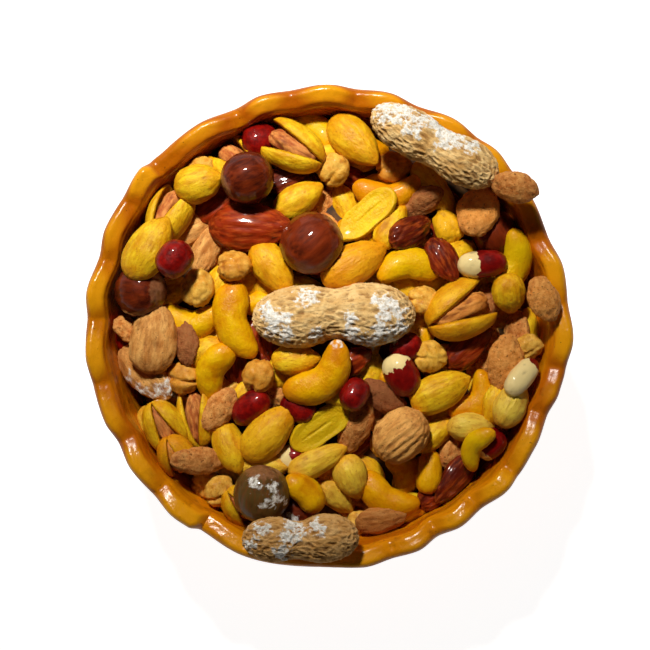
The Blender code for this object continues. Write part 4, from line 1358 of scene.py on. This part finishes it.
# %% Red peanuts
def bare_end(make, own, colour):
    """The cream kernel where the red skin has come off, from one end up to where the tone says."""
    torn = make.swing(make.noise(own["local"], own["seed"], 2.0), 0.7)
    edge = make.math("SUBTRACT", own["tone"], make.plus(make.part(own["rest"], "X"), torn))
    flaked = make.span(make.math("ABSOLUTE", own["tone"]), 0.0, 0.01)
    bare = make.mul(make.span(edge, -0.02, 0.02), flaked)
    return make.mix(bare, colour, srgb(238, 214, 150))


red_skin = nut_skin(
    "red_peanut_skin", (88, 3, 4), (152, 16, 8), (120, 8, 6), (120, 8, 6),
    patch=2.2, crease=(60, 2, 5), crease_shade_heights=(-0.25, -0.05), rough=(0.4, 0.55), coat=0.6,
    grain=(0.7, 0.3), specular=0.1, coat_rough=0.08, extra=bare_end)
make_nuts(
    "red_peanuts", "red peanut", [unit_form(blunt)], red_skin,
    relief(lump=(0.55, 3.5), wrinkle=(0.14, 1.2, 2.0)))

# %% Peanut halves
half_skin = nut_skin(
    "peanut_half", (226, 174, 8), (244, 208, 36), (216, 156, 10), (196, 164, 16),
    patch=4.0, crease=(170, 112, 6), crease_shade_heights=(-0.2, -0.05), specks=0.3, speck_colour=(186, 120, 8),
    rough=(0.3, 0.44), coat=0.1, grain=(0.7, 0.5), streaks=0.3, streak_colour=(204, 140, 6),
    end_shade=0.4)
make_nuts(
    "peanut_halves", "split",
    [unit_form(blunt, halved(-1), 56, 96),
     unit_form(blunt, halved(1), 56, 96)],
    half_skin, relief(lump=(0.3, 4.5), grain=(0.03, 0.7)))

# %% [markdown]
# ### Peanuts in their shells
#
# Two lobes with a waist, covered by a net of raised veins that run mostly lengthwise. The same tree makes
# them, one at a time, because each has its own place in the frame. Its cells are stretched along the
# shell and its edges raised, which is just how the veins of a shell look.

# %% The form of a peanut's shell
WAIST_WIDTH = 0.26


def pod(waist, where, grow):
    """The outline of a peanut's shell: two lobes, the second one larger."""
    def outline(s):
        ends = np.sqrt(np.maximum(0, 1 - np.abs(s) ** 3.2))
        return ends * (0.97 + grow * s - waist * hill(s, where, WAIST_WIDTH))
    return outline


def pod_shape(lift):
    """A shell's seam along both sides, its low ribs, and a waist that is deeper on one side."""
    def shape(points, s, turn, half):
        seam = groove(turn, 0.3, 0.10) + groove(turn, 0.3 + np.pi, 0.10)
        lines = np.abs(np.sin(6.5 * turn + 0.7 * np.sin(3.5 * s + turn))) ** 0.5
        ribs = 1 + 0.03 * seam + 0.035 * (lines - 1) * oval(s)
        points[:, 1:] *= ribs[:, None]
        points[:, 1] += lift * hill(s, 0, 0.32)
        return points
    return shape

# %% The skin of a peanut's shell
husk = nut_skin(
    "peanut_shell", (200, 148, 76), (242, 208, 146), (198, 138, 68), (240, 210, 150),
    patch=2.6, crease=(118, 70, 24), crease_shade_heights=(-0.34, 0.30), specks=0.5, speck_size=0.5,
    speck_colour=(122, 78, 36), rough=(0.75, 0.9), grain=(0.4, 0.9), stretch=2.0)
husk_relief = relief(
    lump=(0.7, 5.0), wrinkle=(0.42, 0.9, 3.0), net=(0.4, 1.6, 2.4), grain=(0.25, 0.6), salt=0.15)
POD_FORMS = {
    "peanut_middle": (pod(0.24, 0.02, 0.03), pod_shape(0.08), 0.2),
    "peanut_back": (pod(0.20, 0.05, 0.05), pod_shape(-0.03), 0.1),
    "peanut_front": (pod(0.26, -0.05, 0.06), pod_shape(-0.08), -0.5),
}

# %% The three peanuts
def squeezed_within(piece, node):
    """Scales a piece by the little that its relief stands out of its node's box."""
    low, high = (np.array(corner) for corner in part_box(node))
    points = np.empty(3 * len(piece.data.vertices), np.float32)
    piece.data.vertices.foreach_get("co", points)
    points = points.reshape(-1, 3)
    middle = (low + high) / 2
    share = np.minimum(1.0, (high - middle) / np.abs(points - middle).max(axis=0))
    piece.data.vertices.foreach_set("co", (middle + (points - middle) * share).ravel())
    print(f"{piece.name}: scaled by", [round(float(part), 3) for part in share])


pod_pieces = {}
for title, (outline, shape, tone) in POD_FORMS.items():
    row, place = PODS[title], pod_places[title]
    attributes = {**attributes_of([(row, place)]), "seed": [row[4] * 0.1], "tone": [tone]}
    form = unit_form(outline, shape, 190, 150)
    piece = run_tree("salted_" + title, [place.translation], attributes, [form], husk, husk_relief)
    squeezed_within(piece, title)
    pod_pieces[title] = piece

# %% [markdown]
# ## The core
#
# Under it all is a plain core, lower than the frame's, that only stops one from seeing through the
# heap to the bowl's floor. It is a dark mottled brown, painted shade for the nuts deep in shade below the
# gaps.

# %% The core
CORE_LOWERED = 2.5
CORE_GAP = 0.8
CORE_EDGE = 56.8
CORE_TURNS = 96


def core_section():
    """From the middle of the dome down to its edge, then down the inside of the bowl."""
    points = [(0.0, FLOOR_HEIGHT + CORE_GAP), (22.0, 8.1), (35.2, 11.3), (46.2, 17.8), (53.7, 27.8)]
    points.append((CORE_EDGE, CORE_EDGE_HEIGHT - CORE_LOWERED - 1.5))
    for share in (0.97, 0.9, 0.8, 0.7, 0.6, 0.45, 0.3, 0.15, 0.0):
        points.append((CORE_EDGE * share, core_height(CORE_EDGE * share) - CORE_LOWERED))
    return points[::-1]


# Painted shade: the core is a dark mottled brown, standing for nuts deep in shade where it shows between the
# nuts.
core_skin, core_make, core_shader = new_material("painted_shade_core")
core_place = core_make.times(core_make.add("ShaderNodeTexCoord").outputs["Object"], 1 / MM)
core_painted_shade = group(core_make, MOTTLE, {
    "Place": core_place, "Seed": 2.0, "Size": 5.0, "Dark": srgb(40, 20, 6), "Light": srgb(96, 60, 12)})
core_make.feed(core_shader.inputs["Base Color"], core_painted_shade["Colour"])
core_shader.inputs["Roughness"].default_value = 0.8
core_points, core_faces = turned(
    core_section(), CORE_TURNS, lambda radius, height, degrees: (radius, height))
core_faces = [tuple(reversed(face)) for face in core_faces]
heap.append(mesh_object("heap_core", core_points, core_faces, core_skin))
bpy.data.objects.remove(salt_spots)
print("pieces of the heap:", len(heap))

# %% [markdown]
# ## Floor, light and camera
#
# The photograph looks straight down on white. A camera 60 cm above the rim keeps the perspective small.
# The key light is a soft spot from above the top edge, a little to the left, whose beam fades towards the
# bottom edge. It is small enough for clear shadows between the nuts. Pale walls all round keep those from
# going black, and a dark ceiling keeps the glossy skins from mirroring it. Light Path lets the camera see
# floor and walls brighter than they light the nuts.

# %% The floor
FLOOR_HALF = 1500.0
FLOOR_LIGHT = 0.5
FLOOR_SHOWN = 0.94
floor_skin, floor_make, floor_shader = new_material("pale_floor")
floor_shader.inputs["Base Color"].default_value = srgb(206, 206, 206)
floor_shader.inputs["Roughness"].default_value = 0.9
floor_shader.inputs["Emission Color"].default_value = (1.0, 1.0, 1.0, 1.0)
floor_seen = floor_make.add("ShaderNodeLightPath").outputs["Is Camera Ray"]
floor_glow = floor_make.span(floor_seen, 0.0, 1.0, FLOOR_LIGHT, FLOOR_SHOWN)
floor_make.feed(floor_shader.inputs["Emission Strength"], floor_glow)
corners = [(x * FLOOR_HALF, y * FLOOR_HALF, 0.0) for x, y in ((-1, -1), (1, -1), (1, 1), (-1, 1))]
floor = mesh_object("floor", corners, [(0, 1, 2, 3)], floor_skin)
print("floor:", 2 * FLOOR_HALF * MM, "m wide")

# %% The key light
KEY_PLACE = (-0.20, 0.67, 0.94)
KEY_TARGET = (-0.013, 0.042, RIM_HEIGHT * MM)
KEY_RADIUS = 0.075
KEY_BEAM = math.radians(12.6)
KEY_WATTS = 86.0
key = bpy.data.lights.new("key", "SPOT")
key.energy = KEY_WATTS
key.color = (1.0, 0.96, 0.88)
key.shadow_soft_size = KEY_RADIUS
key.spot_size = KEY_BEAM
key.spot_blend = 1.0
key_lamp = bpy.data.objects.new("key", key)
key_lamp.location = KEY_PLACE
key_lamp.rotation_euler = (Vector(KEY_TARGET) - Vector(KEY_PLACE)).to_track_quat("-Z", "Y").to_euler()
bpy.context.scene.collection.objects.link(key_lamp)
print("key light:", KEY_WATTS, "W from", KEY_PLACE)

# %% The room
WALL_LIGHT = 0.3
WALL_SHOWN = 0.8
CEILING_LIGHT = 0.012
WALL_TOP = (0.12, 0.36)
WARM, WHITE = (1.0, 0.86, 0.68, 1.0), (1.0, 1.0, 1.0, 1.0)
world = bpy.data.worlds.new("soft_room")
bpy.context.scene.world = world
world.use_nodes = True
room = Maker(world.node_tree)
upward = room.part(room.add("ShaderNodeTexCoord").outputs["Generated"], "Z")
background = world.node_tree.nodes["Background"]
lit = room.span(upward, *WALL_TOP, WALL_LIGHT, CEILING_LIGHT)
seen = room.add("ShaderNodeLightPath").outputs["Is Camera Ray"]
strength = room.add("ShaderNodeMix", data_type="FLOAT")
for place, value in zip((0, 2, 3), (seen, lit, WALL_SHOWN)):
    room.feed(strength.inputs[place], value)
room.feed(background.inputs["Strength"], strength.outputs[0])
room.feed(background.inputs["Color"], room.mix(seen, WARM, WHITE))

# %% The camera
FRAME_WIDTH = 182.5
CAMERA_DISTANCE = 600.0
SENSOR = 36.0
VIEW_MIDDLE = (-0.7, 0.56)
camera_data = bpy.data.cameras.new("camera")
camera_data.sensor_width = SENSOR
camera_data.lens = SENSOR * CAMERA_DISTANCE / FRAME_WIDTH
camera_data.clip_end = 20.0
camera = bpy.data.objects.new("camera", camera_data)
camera.location = Vector((*VIEW_MIDDLE, RIM_HEIGHT + CAMERA_DISTANCE)) * MM
bpy.context.scene.collection.objects.link(camera)
bpy.context.scene.camera = camera
bpy.context.scene.view_settings.view_transform = "Standard"
print("lens:", round(camera_data.lens, 1), "mm")

# %% [markdown]
# ## Join the frame
#
# Nothing moves on this object, so every piece rides on the one body. The bowl and each peanut stand for
# their own nodes, and all the nuts and the core together stand for the heap.

# %% Ride, replace and finish
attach(bowl, "root")
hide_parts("bowl")
for piece in heap:
    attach(piece, "root")
    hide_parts("nut_heap")
for title, piece in pod_pieces.items():
    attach(piece, "root")
    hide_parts(title)
